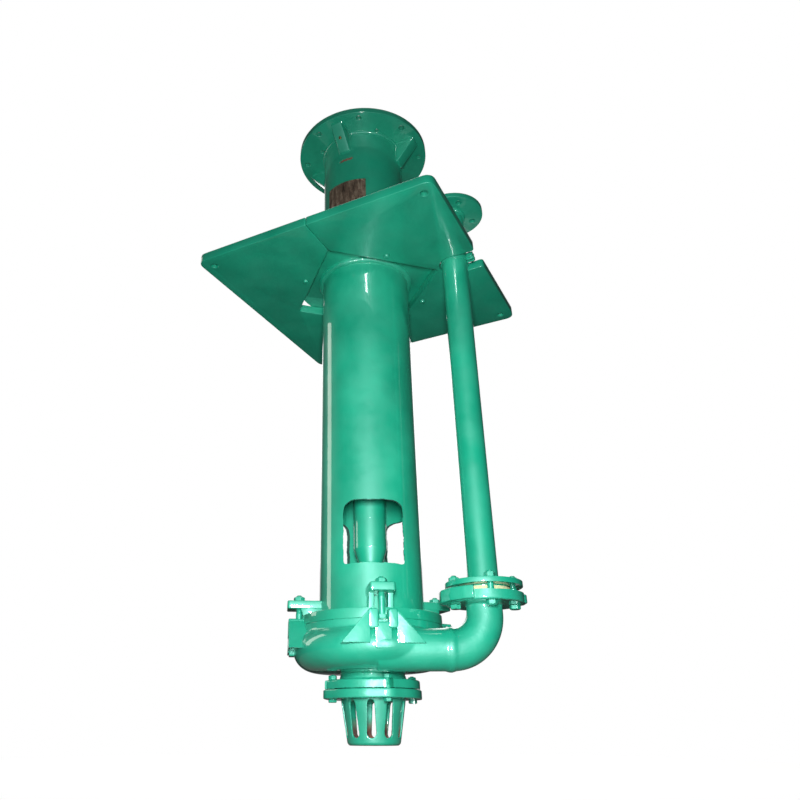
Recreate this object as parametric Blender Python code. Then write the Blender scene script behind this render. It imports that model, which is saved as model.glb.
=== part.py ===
"""Vertical cantilever slurry pump: motor stand, split mounting plate, windowed column, volute casing, riser and strainer.

Metres, +Z up. The origin is on the pump's axis, in the underside of the mounting plate, and +X points at the riser.
The pump end has its own frame, turned about Z, with its origin in the plane of the discharge's centre line.
"""
from math import atan2, cos, log, pi, radians, sin, tan

import bmesh
import bpy
from mathutils import Matrix, Vector

# Clearances
GAP = 0.0003                 # between two pieces that touch
RUNNING = 0.0008             # between the turning shaft and a fixed ring
BOLT_PLAY = 0.0012           # a bolt's hole is wider than its shank by this, each side

# Mounting plate, split in two along the Y axis
PLATE_SIDE = 0.765
PLATE_THICKNESS = 0.028
PLATE_CORNER_RADIUS = 0.025
PLATE_HOLE_SPACING = 0.690
PLATE_HOLE = 0.022
PLATE_SEAM = 0.002
PLATE_EDGE_RADIUS = 0.002
DIAMOND_HALF = 0.250         # centre to tip of the square opening that the column hangs in
NOTCH_CLEARANCE = 0.005      # round the riser
NOTCH_MOUTH_RADIUS = 0.010

# Column, a pipe with a flange at each end
COLUMN_OD = 0.273
COLUMN_WALL = 0.008
COLUMN_FLANGE_OD = 0.450
COLUMN_FLANGE_THICKNESS = 0.022
COLUMN_BOLT_CIRCLE = 0.400
FOOT_FLANGE_OD = 0.362
FOOT_FLANGE_THICKNESS = 0.024
FOOT_BORE = 0.197
WELD_LEG = 0.009
WINDOW_WIDTH = 0.161
WINDOW_HEIGHT = 0.158
WINDOW_CORNER_RADIUS = 0.022
WINDOW_ABOVE_FOOT = 0.141    # window sill above the foot flange's underside

# Motor stand
MOTOR_FACE_HEIGHT = 0.583    # above the plate's underside
MOTOR_FLANGE_OD = 0.450
MOTOR_FLANGE_THICKNESS = 0.020
MOTOR_BOLT_CIRCLE = 0.400
MOTOR_HOLE = 0.0185
MOTOR_HOLE_COUNT = 8
LIFTING_CIRCLE = 0.300
LIFTING_HOLE = 0.014
SPIGOT_OD = 0.350
SPIGOT_DEPTH = 0.005
STAND_FOOT_THICKNESS = 0.020
GUSSET_REACH = 0.190
GUSSET_HEIGHT = 0.079
GUSSET_THICKNESS = 0.038
GUSSET_EDGE = 0.006
HAND_HOLE_WIDTH = 0.120
HAND_HOLE_HEIGHT = 0.160
HAND_HOLE_CENTRE = 0.300
DRAIN_SLOT_WIDTH = 0.056
DRAIN_SLOT_HEIGHT = 0.009
DRAIN_SLOT_CENTRE = 0.453
PAD_WIDTH = 0.160
PAD_THICKNESS = 0.002
NAMEPLATE_WIDTH = 0.138
NAMEPLATE_HEIGHT = 0.095
NAMEPLATE_THICKNESS = 0.0015
NAMEPLATE_TOP = 0.352
PAD_BORDER = 0.007

# Earth screw in the front gusset
EARTH_SCREW_HEAD = 0.011
EARTH_SCREW_SHANK = 0.006
EARTH_SCREW_HEAD_HEIGHT = 0.003
EARTH_SCREW_LENGTH = 0.014

# Pump end
PUMP_TURN = radians(30)      # pump end against the mounting plate
CLAMP_ANGLES = (radians(-87), radians(20), radians(101), radians(183))
CENTRE_DEPTH = 1.104         # plate's underside to the discharge's centre line
RISER_DISTANCE = 0.3055      # riser's axis to the pump's axis
RIM_HEIGHT = 0.0655          # casing's rim above its centre line
RIM_RECESS_DIAMETER = 0.306
VOLUTE_START = 0.188         # outer reach at the tongue
VOLUTE_GROWTH = 0.036        # growth of the reach in a full turn
VOLUTE_FLAT = 0.139          # radius where the floor starts to curve up
VOLUTE_MID = 0.020           # height of the widest ring above the centre line
VOLUTE_BELOW = 0.065         # from the widest ring to the floor
VOLUTE_ABOVE = 0.040
VOLUTE_WALL = 0.010
VOLUTE_ROOF = 0.018
VOLUTE_OPENING = 0.255       # hole in the roof that the impeller goes in through
TONGUE_ANGLE = radians(-30)
TONGUE_BLEND = radians(30)   # the reach falls back to its start over this angle
DISCHARGE_OD = 0.092
DISCHARGE_BORE = 0.068
ELBOW_RADIUS = 0.066
COLLAR_OD = 0.100
COLLAR_WIDTH = 0.010
COLLAR_DISTANCE = 0.172      # along the discharge from the pump's axis
NECK_OD = 0.160
SUCTION_BORE = 0.125
NECK_FLANGE_OD = 0.236
NECK_FLANGE_THICKNESS = 0.020
NECK_FACE = 0.079            # neck flange's face below the centre line
SUCTION_BOLT_CIRCLE = 0.210
SUCTION_BOLT_TURN = radians(15)

# Clamps: a forked lug on the casing under an ear on the column's foot, four times
CLAMP_BOLT_RADIUS = 0.189
EAR_TIP = 0.220
EAR_WIDTH = 0.062
EAR_RISE = 0.025             # ear's underside above the foot flange
EAR_THICKNESS = 0.020
EAR_LEG = 0.013
LUG_ROOT = 0.150
LUG_TIP = 0.2125
LUG_WIDTH = 0.069
LUG_SLOT = 0.020
LUG_TOP = 0.084
LUG_CHEEK_FOOT = 0.038
LUG_SHOULDER = 0.066
LUG_BASE_TIP = 0.2035
LUG_BASE_WIDTH = 0.074
LUG_BASE_FOOT = 0.006
LUG_POCKET = 0.042
WING_REACH = 0.208
WING_SPAN = 0.196
WING_TOP = 0.078
WING_SINK = 0.002            # how far the lugs' pieces run into each other

# Discharge flanges
RISER_OD = 0.076
RISER_WALL = 0.005
RISER_FLANGE_OD = 0.188
RISER_FLANGE_THICKNESS = 0.016
RISER_BOLT_CIRCLE = 0.145
RISER_HOLE = 0.018
RISER_TOP = 0.200            # top flange's face above the plate's underside
RISER_TOP_FLANGE_OD = 0.200
RISER_TOP_TURN = radians(40)  # first hole of the top flange
ELBOW_FLANGE_BACK = 0.101    # elbow flange's underside above the centre line
ELBOW_FLANGE_OD = 0.188
ELBOW_FLANGE_THICKNESS = 0.023
RAISED_FACE_OD = 0.118
RAISED_FACE = 0.004
DISCHARGE_GASKET = 0.004
BOSS_REACH = 0.109
BOSS_WIDTH = 0.062
BOSS_HEIGHT = 0.030
LOBE_REACH = 0.100

# Strainer
STRAINER_FLANGE_OD = 0.242
STRAINER_FLANGE_THICKNESS = 0.020
STRAINER_TOP_DIAMETER = 0.168
STRAINER_FOOT_DIAMETER = 0.127
STRAINER_HEIGHT = 0.101      # below its flange
STRAINER_WALL = 0.007
STRAINER_MOUTH = 0.112
STRAINER_SLOTS = 10
STRAINER_SLOT_WIDTH = 0.019
STRAINER_SLOT_TOP_WIDTH = 0.012
STRAINER_SLOT_TURN = radians(9)
STRAINER_SLOT_MARGIN = 0.011
FLOOR_HOLES = 6
FLOOR_HOLE = 0.016
FLOOR_HOLE_CIRCLE = 0.076
FLANGE_GASKET = 0.0015

# Liners
LINER_THICKNESS = 0.018
LINER_BORE = 0.078
BUSH_BORE = 0.094
BUSH_TOP = -0.026

# Impeller
IMPELLER_DIAMETER = 0.244
IMPELLER_TOP = 0.042
IMPELLER_BOTTOM = -0.022
BACK_SHROUD = 0.010
FRONT_SHROUD = 0.008
IMPELLER_EYE = 0.090
HUB_DIAMETER = 0.070
HUB_NOSE = -0.002
THREAD_FOOT = 0.010          # shaft's end above the centre line
VANE_COUNT = 5
VANE_THICKNESS = 0.008
VANE_ANGLE = radians(27)     # between a vane and the tangent
VANE_INNER = 0.043

# Bearing assembly
HOUSING_WALL = 0.025         # round the bearings
HOUSING_SHOULDER = 0.006     # that the bearings' outer races sit against
HOUSING_FLANGE_OD = 0.248
HOUSING_FLANGE_THICKNESS = 0.018
HOUSING_RISE = 0.032         # housing above its flange
HOUSING_LENGTH = 0.500
BEARING_OD = 0.140
UPPER_BEARING_BORE = 0.065
UPPER_BEARING_WIDTH = 0.036
LOWER_BEARING_BORE = 0.080
LOWER_BEARING_WIDTH = 0.033
RACE_THICKNESS = 0.008
ROLLER_COUNT = 9
COVER_SPIGOT = 0.006
COVER_THICKNESS = 0.024
COVER_TOP = 0.011
COVER_SCREWS = 4
LOWER_COVER_THICKNESS = 0.018
SEAL_SECTION = 0.009
SEAL_HEIGHT = 0.010
LOCKNUT_OD = 0.086
LOCKNUT_HEIGHT = 0.014

# Shaft
SHAFT_TOP = 0.268            # above the plate's underside
COUPLING_SEAT = 0.055
SEAL_SEAT = 0.060
SHAFT_WAIST = 0.078
SHAFT_OD = 0.088
SHAFT_LOWER = 0.062
SLEEVE_SEAT = 0.055
SHAFT_THREAD = 0.039
TAPER_TOP = 0.268            # above the centre line
TAPER_FOOT = 0.228
SLEEVE_OD = 0.072
SLEEVE_LENGTH = 0.085
COUPLING_OD = 0.150
COUPLING_HUB_OD = 0.098
COUPLING_HEIGHT = 0.070
COUPLING_DISC = 0.022
COUPLING_CLAWS = 4
CLAW_HEIGHT = 0.020
KEY_WIDTH = 0.014
KEY_HEIGHT = 0.009
KEY_LENGTH = 0.052
KEY_DEPTH = 0.0055           # into the shaft
LOCKNUT_SLOT = 0.009

# Fasteners: shank, across flats, head height, nut height
M16 = (0.016, 0.024, 0.010, 0.013)
M16_CLAMP = (0.016, 0.026, 0.010, 0.012)
M12 = (0.012, 0.019, 0.008, 0.010)
M10 = (0.010, 0.017, 0.007, 0.008)
BOLT_END = 0.004             # what stands out past a nut

# Clip that holds the riser in the plate's notch
CLIP_STRAP = 0.004
CLIP_EAR = 0.024
CLIP_SLIT = 0.008
CLIP_HEIGHT = 0.026

# Facets round a circle; every count divides the pump end's turn evenly
FINE = 24                    # column, casing, strainer
MEDIUM = 24                  # riser and its flanges
SLIM = 16                    # everything round the shaft
BEND = 16                    # discharge and its elbow
SMALL = 8                    # bolts and their holes
ROLLER_FACETS = 6
SECTION_STEPS = 5            # from the volute's floor to its roof

# Worked out from the above
COLUMN_RADIUS = COLUMN_OD / 2
COLUMN_INNER = COLUMN_RADIUS - COLUMN_WALL
FLANGE_SEAT = PLATE_THICKNESS + GAP
FLANGE_TOP = FLANGE_SEAT + COLUMN_FLANGE_THICKNESS
STAND_SEAT = FLANGE_TOP + GAP
STAND_FOOT_TOP = STAND_SEAT + STAND_FOOT_THICKNESS
FOOT_UNDERSIDE = RIM_HEIGHT + FLANGE_GASKET + 2 * GAP
FOOT_TOP = FOOT_UNDERSIDE + FOOT_FLANGE_THICKNESS
EAR_UNDERSIDE = FOOT_TOP + EAR_RISE
EAR_TOP = EAR_UNDERSIDE + EAR_THICKNESS
RISER_RADIUS = RISER_OD / 2
NOTCH_RADIUS = RISER_RADIUS + NOTCH_CLEARANCE
OFFSET = RISER_DISTANCE * sin(PUMP_TURN)      # discharge's centre line beside the pump's axis
REACH = RISER_DISTANCE * cos(PUMP_TURN)       # riser's axis along the discharge
ELBOW_FACE = ELBOW_FLANGE_BACK + ELBOW_FLANGE_THICKNESS + RAISED_FACE
RISER_FACE = ELBOW_FACE + DISCHARGE_GASKET + 2 * GAP
RISER_SEAT = RISER_FACE + RAISED_FACE
RISER_SEAT_TOP = RISER_SEAT + RISER_FLANGE_THICKNESS
STRAINER_SEAT = -NECK_FACE - FLANGE_GASKET - 2 * GAP
STRAINER_BACK = STRAINER_SEAT - STRAINER_FLANGE_THICKNESS
HOUSING_OD = BEARING_OD + 2 * HOUSING_WALL
HOUSING_WAIST_BORE = BEARING_OD - 2 * HOUSING_SHOULDER
COVER_SCREW_CIRCLE = (BEARING_OD + HOUSING_OD) / 2
HOUSING_SEAT = FLANGE_TOP + GAP
HOUSING_FLANGE_TOP = HOUSING_SEAT + HOUSING_FLANGE_THICKNESS
HOUSING_TOP = HOUSING_FLANGE_TOP + HOUSING_RISE
HOUSING_FOOT = HOUSING_TOP - HOUSING_LENGTH
UPPER_BEARING_TOP = HOUSING_TOP - COVER_SPIGOT - GAP
UPPER_BEARING_FOOT = UPPER_BEARING_TOP - UPPER_BEARING_WIDTH
LOWER_BEARING_FOOT = HOUSING_FOOT + COVER_SPIGOT + GAP
LOWER_BEARING_TOP = LOWER_BEARING_FOOT + LOWER_BEARING_WIDTH
COVER_HEIGHT = HOUSING_TOP + GAP + COVER_THICKNESS
SLEEVE_FOOT = IMPELLER_TOP + GAP
COUPLING_FOOT = SHAFT_TOP - COUPLING_HEIGHT

# Materials: colour, metallic, roughness
GREEN_PAINT = ("green_paint", (0.010, 0.265, 0.165, 1.0), 0.0, 0.30)
CAST_GREEN = ("green_paint_on_casting", (0.014, 0.300, 0.195, 1.0), 0.0, 0.36)
PLATE_METAL = ("nameplate_metal", (0.105, 0.070, 0.046, 1.0), 0.7, 0.48)
BRASS = ("brass", (0.50, 0.30, 0.10, 1.0), 1.0, 0.35)
BARE_STEEL = ("machined_steel", (0.45, 0.45, 0.46, 1.0), 1.0, 0.32)
BEARING_STEEL = ("bearing_steel", (0.55, 0.56, 0.58, 1.0), 1.0, 0.20)
WEAR_ALLOY = ("high_chrome_iron", (0.24, 0.23, 0.22, 1.0), 0.9, 0.50)
RUBBER = ("black_rubber", (0.018, 0.018, 0.019, 1.0), 0.0, 0.70)
FIBRE = ("gasket_fibre", (0.62, 0.58, 0.38, 1.0), 0.0, 0.80)


def clear_scene():
    """Empties the open scene."""
    for obj in list(bpy.data.objects):
        bpy.data.objects.remove(obj)


def material(finish):
    """Principled material for one finish, made once."""
    name, colour, metallic, roughness = finish
    found = bpy.data.materials.get(name)
    if found:
        return found
    made = bpy.data.materials.new(name)
    made.use_nodes = True
    shader = made.node_tree.nodes["Principled BSDF"]
    shader.inputs["Base Color"].default_value = colour
    shader.inputs["Metallic"].default_value = metallic
    shader.inputs["Roughness"].default_value = roughness
    return made


def empty(name, location=(0, 0, 0), angle=0.0, parent=None):
    """Named frame that pieces are placed in."""
    obj = bpy.data.objects.new(name, None)
    bpy.context.scene.collection.objects.link(obj)
    obj.location = location
    obj.rotation_euler = (0, 0, angle)
    obj.parent = parent
    return obj


def add_object(name, bm, finish=None, parent=None):
    """Turns a bmesh into a named object; one without a finish is a helper that only cuts or joins."""
    bmesh.ops.recalc_face_normals(bm, faces=bm.faces)
    mesh = bpy.data.meshes.new(name)
    bm.to_mesh(mesh)
    bm.free()
    mesh.shade_smooth()
    mesh.set_sharp_from_angle(angle=radians(35))
    obj = bpy.data.objects.new(name, mesh)
    bpy.context.scene.collection.objects.link(obj)
    obj.parent = parent
    if finish:
        mesh.materials.append(material(finish))
    else:
        obj.hide_render = True
        obj.display_type = "WIRE"
    return obj


def boolean(target, tool, operation):
    """Adds an exact Boolean modifier to the target."""
    step = target.modifiers.new(tool.name, "BOOLEAN")
    step.operation = operation
    step.solver = "EXACT"
    step.object = tool


def cut(target, *tools):
    for tool in tools:
        boolean(target, tool, "DIFFERENCE")


def weld_on(target, *tools):
    for tool in tools:
        boolean(target, tool, "UNION")


def turned(profile, facets, bm=None, matrix=Matrix()):
    """Solid of revolution about Z. The profile is a closed loop of (radius, height); a point on the axis is a pole."""
    bm = bm or bmesh.new()
    angles = [2 * pi * i / facets for i in range(facets)]
    rings = []
    for radius, height in profile:
        if radius == 0:
            rings.append([bm.verts.new(matrix @ Vector((0, 0, height)))])
        else:
            rings.append([bm.verts.new(matrix @ Vector((radius * cos(a), radius * sin(a), height))) for a in angles])
    skin_rings(bm, rings, closed=True)
    return bm


def skin_rings(bm, rings, closed=False):
    """Faces between neighbouring rings of points; a ring of one point is a pole."""
    pairs = zip(rings, rings[1:] + rings[:1]) if closed else zip(rings, rings[1:])
    for first, second in pairs:
        if len(first) == 1 and len(second) == 1:
            continue
        count = max(len(first), len(second))
        for i in range(count):
            j = (i + 1) % count
            corners = (first[i % len(first)], first[j % len(first)], second[j % len(second)], second[i % len(second)])
            bm.faces.new(list(dict.fromkeys(corners)))


def rod(radius, low, high):
    """Profile of a plain cylinder."""
    return [(0, low), (radius, low), (radius, high), (0, high)]


def tube(inner, outer, low, high):
    """Profile of a plain ring."""
    return [(inner, low), (outer, low), (outer, high), (inner, high)]


def prism(outline, low, high, bm=None, matrix=Matrix()):
    """Outline in X and Y, extruded along Z."""
    bm = bm or bmesh.new()
    floor = [bm.verts.new(matrix @ Vector((x, y, low))) for x, y in outline]
    roof = [bm.verts.new(matrix @ Vector((x, y, high))) for x, y in outline]
    bm.faces.new(floor)
    bm.faces.new(roof)
    skin_rings(bm, [floor, roof])
    return bm


def block(x, y, z, bm=None, matrix=Matrix()):
    """Box between two limits along each axis."""
    outline = [(x[0], y[0]), (x[1], y[0]), (x[1], y[1]), (x[0], y[1])]
    return prism(outline, z[0], z[1], bm, matrix)


def swept_tube(path, radius, facets, bm=None):
    """Solid rod along a path that stays in an upright plane parallel to X."""
    bm = bm or bmesh.new()
    rings = []
    for i, (x, y, z) in enumerate(path):
        before = Vector(path[max(i - 1, 0)])
        after = Vector(path[min(i + 1, len(path) - 1)])
        ahead = (after - before).normalized()
        side = Vector((0, 1, 0))
        up = side.cross(ahead)
        angles = [2 * pi * k / facets for k in range(facets)]
        rings.append([bm.verts.new(Vector((x, y, z)) + radius * (cos(a) * side + sin(a) * up)) for a in angles])
    skin_rings(bm, rings)
    bm.faces.new(rings[0])
    bm.faces.new(rings[-1])
    return bm


def arc(centre, radius, start, end, steps):
    """Points of an arc, both ends included."""
    angles = [start + (end - start) * i / steps for i in range(steps + 1)]
    return [(centre[0] + radius * cos(a), centre[1] + radius * sin(a)) for a in angles]


def rounded_rectangle(width, height, radius, steps=3):
    """Outline centred on the origin, counter-clockwise."""
    points = []
    for quarter, (sx, sy) in enumerate(((1, 1), (-1, 1), (-1, -1), (1, -1))):
        centre = (sx * (width / 2 - radius), sy * (height / 2 - radius))
        points += arc(centre, radius, quarter * pi / 2, (quarter + 1) * pi / 2, steps)
    return points


def sector(inner, outer, half_angle, facets=FINE):
    """Outline of a curved strip about -Y, with corners where a ring of as many facets has them."""
    step = 2 * pi / facets
    middle = -pi / 2
    whole = int(half_angle / step)
    angles = [middle - half_angle] + [middle + k * step for k in range(-whole, whole + 1)] + [middle + half_angle]
    outside = [(outer * cos(a), outer * sin(a)) for a in angles]
    inside = [(inner * cos(a), inner * sin(a)) for a in angles]
    return outside + inside[::-1]


def turn(angle):
    return Matrix.Rotation(angle, 4, "Z")


def facing(angle, height=0.0):
    """Frame on the axis whose Z points outwards at the angle, X sideways and Y up."""
    frame = Matrix(((-sin(angle), cos(angle), 0), (0, 0, 1), (cos(angle), sin(angle), 0))).transposed().to_4x4()
    frame.translation = Vector((0, 0, height))
    return frame


def standing(angle):
    """Frame on the axis whose X points outwards at the angle and Y up."""
    return Matrix(((cos(angle), sin(angle), 0), (0, 0, 1), (sin(angle), -cos(angle), 0))).transposed().to_4x4()


def places_on_circle(diameter, angles):
    return [(diameter / 2 * cos(a), diameter / 2 * sin(a)) for a in angles]


def evenly(count, start=0.0):
    """Angles evenly round a circle."""
    return [start + 2 * pi * i / count for i in range(count)]


def add_pins(bm, places, diameter, low, high):
    """Adds an upright pin at each place."""
    for x, y in places:
        flat_to_axis = turn(atan2(y, x) + pi / SMALL)
        turned(rod(diameter / 2, low, high), SMALL, bm, Matrix.Translation((x, y, 0)) @ flat_to_axis)
    return bm


def hole_pins(name, places, diameter, low, high, parent=None):
    """One helper with an upright pin at each place."""
    return add_object(name, add_pins(bmesh.new(), places, diameter, low, high), parent=parent)


def clearance_hole(size):
    """Diameter of the hole for a bolt."""
    return size[0] + 2 * BOLT_PLAY


def hexagon(flats):
    """Corners of a hexagon, one of them at 30 degrees."""
    return arc((0, 0), flats / 2 / cos(pi / 6), pi / 6, pi / 6 + 5 * pi / 3, 5)


def circle(diameter):
    """Corners of a shank or a nut's bore, the first one at 30 degrees."""
    start = pi / 6
    return arc((0, 0), diameter / 2, start, start + 2 * pi * (SMALL - 1) / SMALL, SMALL - 1)


def level(bm, outline, height):
    return [bm.verts.new((x, y, height)) for x, y in outline]


def fill_between(bm, outer, inner):
    """Flat face between two loops round the same centre, as triangles from corner to corner."""
    i, j = 0, 0
    while i < len(outer) or j < len(inner):
        a, b = outer[i % len(outer)], inner[j % len(inner)]
        if j == len(inner) or (i < len(outer) and (i + 1) * len(inner) <= (j + 1) * len(outer)):
            i += 1
            bm.faces.new((a, outer[i % len(outer)], b))
        else:
            j += 1
            bm.faces.new((a, inner[j % len(inner)], b))


def hex_bolt(name, size, length, place, parent, angle=0.0, tilt=0.0, finish=None):
    """Bolt whose shank goes up from place, with its head below; tilt turns it about X."""
    shank, flats, head, _ = size
    bm = bmesh.new()
    head_foot, head_top = level(bm, hexagon(flats), -head), level(bm, hexagon(flats), 0)
    shank_foot, shank_top = level(bm, circle(shank), 0), level(bm, circle(shank), length)
    bm.faces.new(head_foot)
    skin_rings(bm, [head_foot, head_top])
    fill_between(bm, head_top, shank_foot)
    skin_rings(bm, [shank_foot, shank_top])
    bm.faces.new(shank_top)
    bolt = add_object(name, bm, finish or GREEN_PAINT, parent)
    bolt.location = place
    bolt.rotation_euler = (tilt, 0, angle)
    return bolt


def hex_nut(name, size, place, parent, angle=0.0, tilt=0.0):
    """Nut that stands on place round its bolt."""
    shank, flats, _, height = size
    bm = bmesh.new()
    outer = [level(bm, hexagon(flats), z) for z in (0, height)]
    bore = [level(bm, circle(shank + 2 * GAP), z) for z in (0, height)]
    for corners, points in zip(outer, bore):
        fill_between(bm, corners, points)
    skin_rings(bm, outer)
    skin_rings(bm, bore)
    nut = add_object(name, bm, GREEN_PAINT, parent)
    nut.location = place
    nut.rotation_euler = (tilt, 0, angle)
    return nut


def plate_outline(side):
    """Outline of one half of the plate. The right half, at side +1, has the riser's notch."""
    half = PLATE_SIDE / 2
    inner = PLATE_SEAM / 2
    round_off = half - PLATE_CORNER_RADIUS
    mouth = NOTCH_MOUTH_RADIUS
    points = [(inner, -half)]
    points += arc((round_off, -round_off), PLATE_CORNER_RADIUS, -pi / 2, 0, 4)
    if side > 0:
        points += arc((half - mouth, -NOTCH_RADIUS - mouth), mouth, 0, pi / 2, 3)
        points += arc((RISER_DISTANCE, 0), NOTCH_RADIUS, -pi / 2, -3 * pi / 2, 12)
        points += arc((half - mouth, NOTCH_RADIUS + mouth), mouth, -pi / 2, 0, 3)
    points += arc((round_off, round_off), PLATE_CORNER_RADIUS, 0, pi / 2, 4)
    points += [(inner, half), (inner, DIAMOND_HALF - inner), (DIAMOND_HALF, 0), (inner, inner - DIAMOND_HALF)]
    return [(side * x, y) for x, y in points]


def mounting_plate():
    """Two flame-cut halves that close round the column."""
    for side, name in ((-1, "mounting_plate_left"), (1, "mounting_plate_right")):
        half = add_object(name, prism(plate_outline(side), 0, PLATE_THICKNESS), GREEN_PAINT)
        edge = half.modifiers.new("edge", "BEVEL")
        edge.width = PLATE_EDGE_RADIUS
        edge.segments = 1
        edge.limit_method = "ANGLE"
        edge.angle_limit = radians(60)
        spot = PLATE_HOLE_SPACING / 2
        corners = [(side * spot, -spot), (side * spot, spot)]
        bolts = [p for p in places_on_circle(COLUMN_BOLT_CIRCLE, evenly(4, pi / 4)) if p[0] * side > 0]
        top = 2 * PLATE_THICKNESS
        holes = add_pins(bmesh.new(), corners, PLATE_HOLE, -PLATE_THICKNESS, top)
        add_pins(holes, bolts, clearance_hole(M16), -PLATE_THICKNESS, top)
        cut(half, add_object(name + "_holes", holes))


def column(pump_end):
    """Pipe with a bolting flange on top, a clamp flange at its foot, two torch-cut windows and four ears."""
    foot_low = FOOT_UNDERSIDE - CENTRE_DEPTH
    foot_top = FOOT_TOP - CENTRE_DEPTH
    body = add_object("column", turned([
        (FOOT_BORE / 2, foot_low), (FOOT_FLANGE_OD / 2, foot_low), (FOOT_FLANGE_OD / 2, foot_top),
        (COLUMN_RADIUS + WELD_LEG / 2, foot_top), (COLUMN_RADIUS, foot_top + WELD_LEG / 2),
        (COLUMN_RADIUS, FLANGE_SEAT - WELD_LEG), (COLUMN_RADIUS + WELD_LEG, FLANGE_SEAT),
        (COLUMN_FLANGE_OD / 2, FLANGE_SEAT), (COLUMN_FLANGE_OD / 2, FLANGE_TOP), (0, FLANGE_TOP),
        (0, FLANGE_SEAT), (COLUMN_INNER, FLANGE_SEAT), (COLUMN_INNER, foot_top), (FOOT_BORE / 2, foot_top)],
        FINE), GREEN_PAINT)
    ears, legs = bmesh.new(), bmesh.new()
    for angle in CLAMP_ANGLES:
        ear_plate(ears, turn(angle))
        ear_legs(legs, angle)
    bolts = places_on_circle(COLUMN_BOLT_CIRCLE, evenly(4, pi / 4))
    clamps = places_on_circle(2 * CLAMP_BOLT_RADIUS, CLAMP_ANGLES)
    middle = FOOT_UNDERSIDE + WINDOW_ABOVE_FOOT + WINDOW_HEIGHT / 2
    openings = prism(rounded_rectangle(WINDOW_WIDTH, WINDOW_HEIGHT, WINDOW_CORNER_RADIUS), -COLUMN_OD, COLUMN_OD,
                     matrix=facing(-pi / 2, middle))
    add_pins(openings, clamps, clearance_hole(M16), FOOT_UNDERSIDE - WELD_LEG, EAR_TOP + WELD_LEG)
    bores = turned(rod(HOUSING_OD / 2 + GAP, 0, 2 * FLANGE_TOP), SLIM)
    add_pins(bores, bolts, clearance_hole(M16), 0, 2 * FLANGE_TOP)
    weld_on(body, add_object("column_ears", ears, parent=pump_end), add_object("column_ear_legs", legs, parent=pump_end))
    cut(body, add_object("column_openings", openings, parent=pump_end), add_object("column_bores", bores))


def ear_plate(bm, matrix):
    """Flat ear that sticks out of the column over a clamp bolt."""
    root = COLUMN_RADIUS - COLUMN_WALL / 2
    half = EAR_WIDTH / 2
    corner = EAR_WIDTH / 10
    plan = [(root, -half), (EAR_TIP - corner, -half), (EAR_TIP, -half + corner), (EAR_TIP, half - corner),
            (EAR_TIP - corner, half), (root, half)]
    prism(plan, EAR_UNDERSIDE, EAR_TOP, bm, matrix)


def ear_legs(bm, angle):
    """Two webs that carry the ear on the foot flange."""
    root = COLUMN_RADIUS - COLUMN_WALL / 3
    sink = EAR_THICKNESS / 10
    foot = FOOT_FLANGE_OD / 2 - sink
    side_view = [(root, FOOT_TOP - sink), (foot, FOOT_TOP - sink), (foot + EAR_LEG / 2, EAR_UNDERSIDE + sink),
                 (root, EAR_UNDERSIDE + sink)]
    edge = EAR_WIDTH / 2 - sink
    for low, high in ((-edge, EAR_LEG - edge), (edge - EAR_LEG, edge)):
        prism(side_view, low, high, bm, standing(angle))


def motor_stand():
    """Pipe with a bolting flange at its foot, a drain slot, a pad, and a hand hole for the coupling."""
    top = MOTOR_FACE_HEIGHT - MOTOR_FLANGE_THICKNESS - GAP
    body = add_object("motor_stand", turned([
        (COLUMN_INNER, STAND_SEAT), (COLUMN_FLANGE_OD / 2, STAND_SEAT), (COLUMN_FLANGE_OD / 2, STAND_FOOT_TOP),
        (COLUMN_RADIUS + WELD_LEG, STAND_FOOT_TOP), (COLUMN_RADIUS, STAND_FOOT_TOP + WELD_LEG),
        (COLUMN_RADIUS, top), (COLUMN_INNER, top)], FINE), GREEN_PAINT)
    pad = sector(COLUMN_RADIUS - COLUMN_WALL / 2, COLUMN_RADIUS + PAD_THICKNESS, PAD_WIDTH / 2 / COLUMN_RADIUS)
    pad = prism(pad, NAMEPLATE_TOP - NAMEPLATE_HEIGHT - PAD_BORDER, NAMEPLATE_TOP + PAD_BORDER)
    weld_on(body, add_object("stand_pad", pad))
    hand_hole = rounded_rectangle(HAND_HOLE_WIDTH, HAND_HOLE_HEIGHT, HAND_HOLE_WIDTH / 4)
    drain = rounded_rectangle(DRAIN_SLOT_WIDTH, DRAIN_SLOT_HEIGHT, DRAIN_SLOT_HEIGHT / 3, 2)
    near = COLUMN_INNER / 2
    openings = prism(hand_hole, near, COLUMN_OD, matrix=facing(pi / 2, HAND_HOLE_CENTRE))
    prism(drain, near, COLUMN_OD, openings, facing(-pi / 2, DRAIN_SLOT_CENTRE))
    add_pins(openings, places_on_circle(COLUMN_BOLT_CIRCLE, evenly(4, pi / 4)), clearance_hole(M16), 0,
             2 * STAND_FOOT_TOP)
    cut(body, add_object("stand_openings", openings))
    nameplate()


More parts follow.
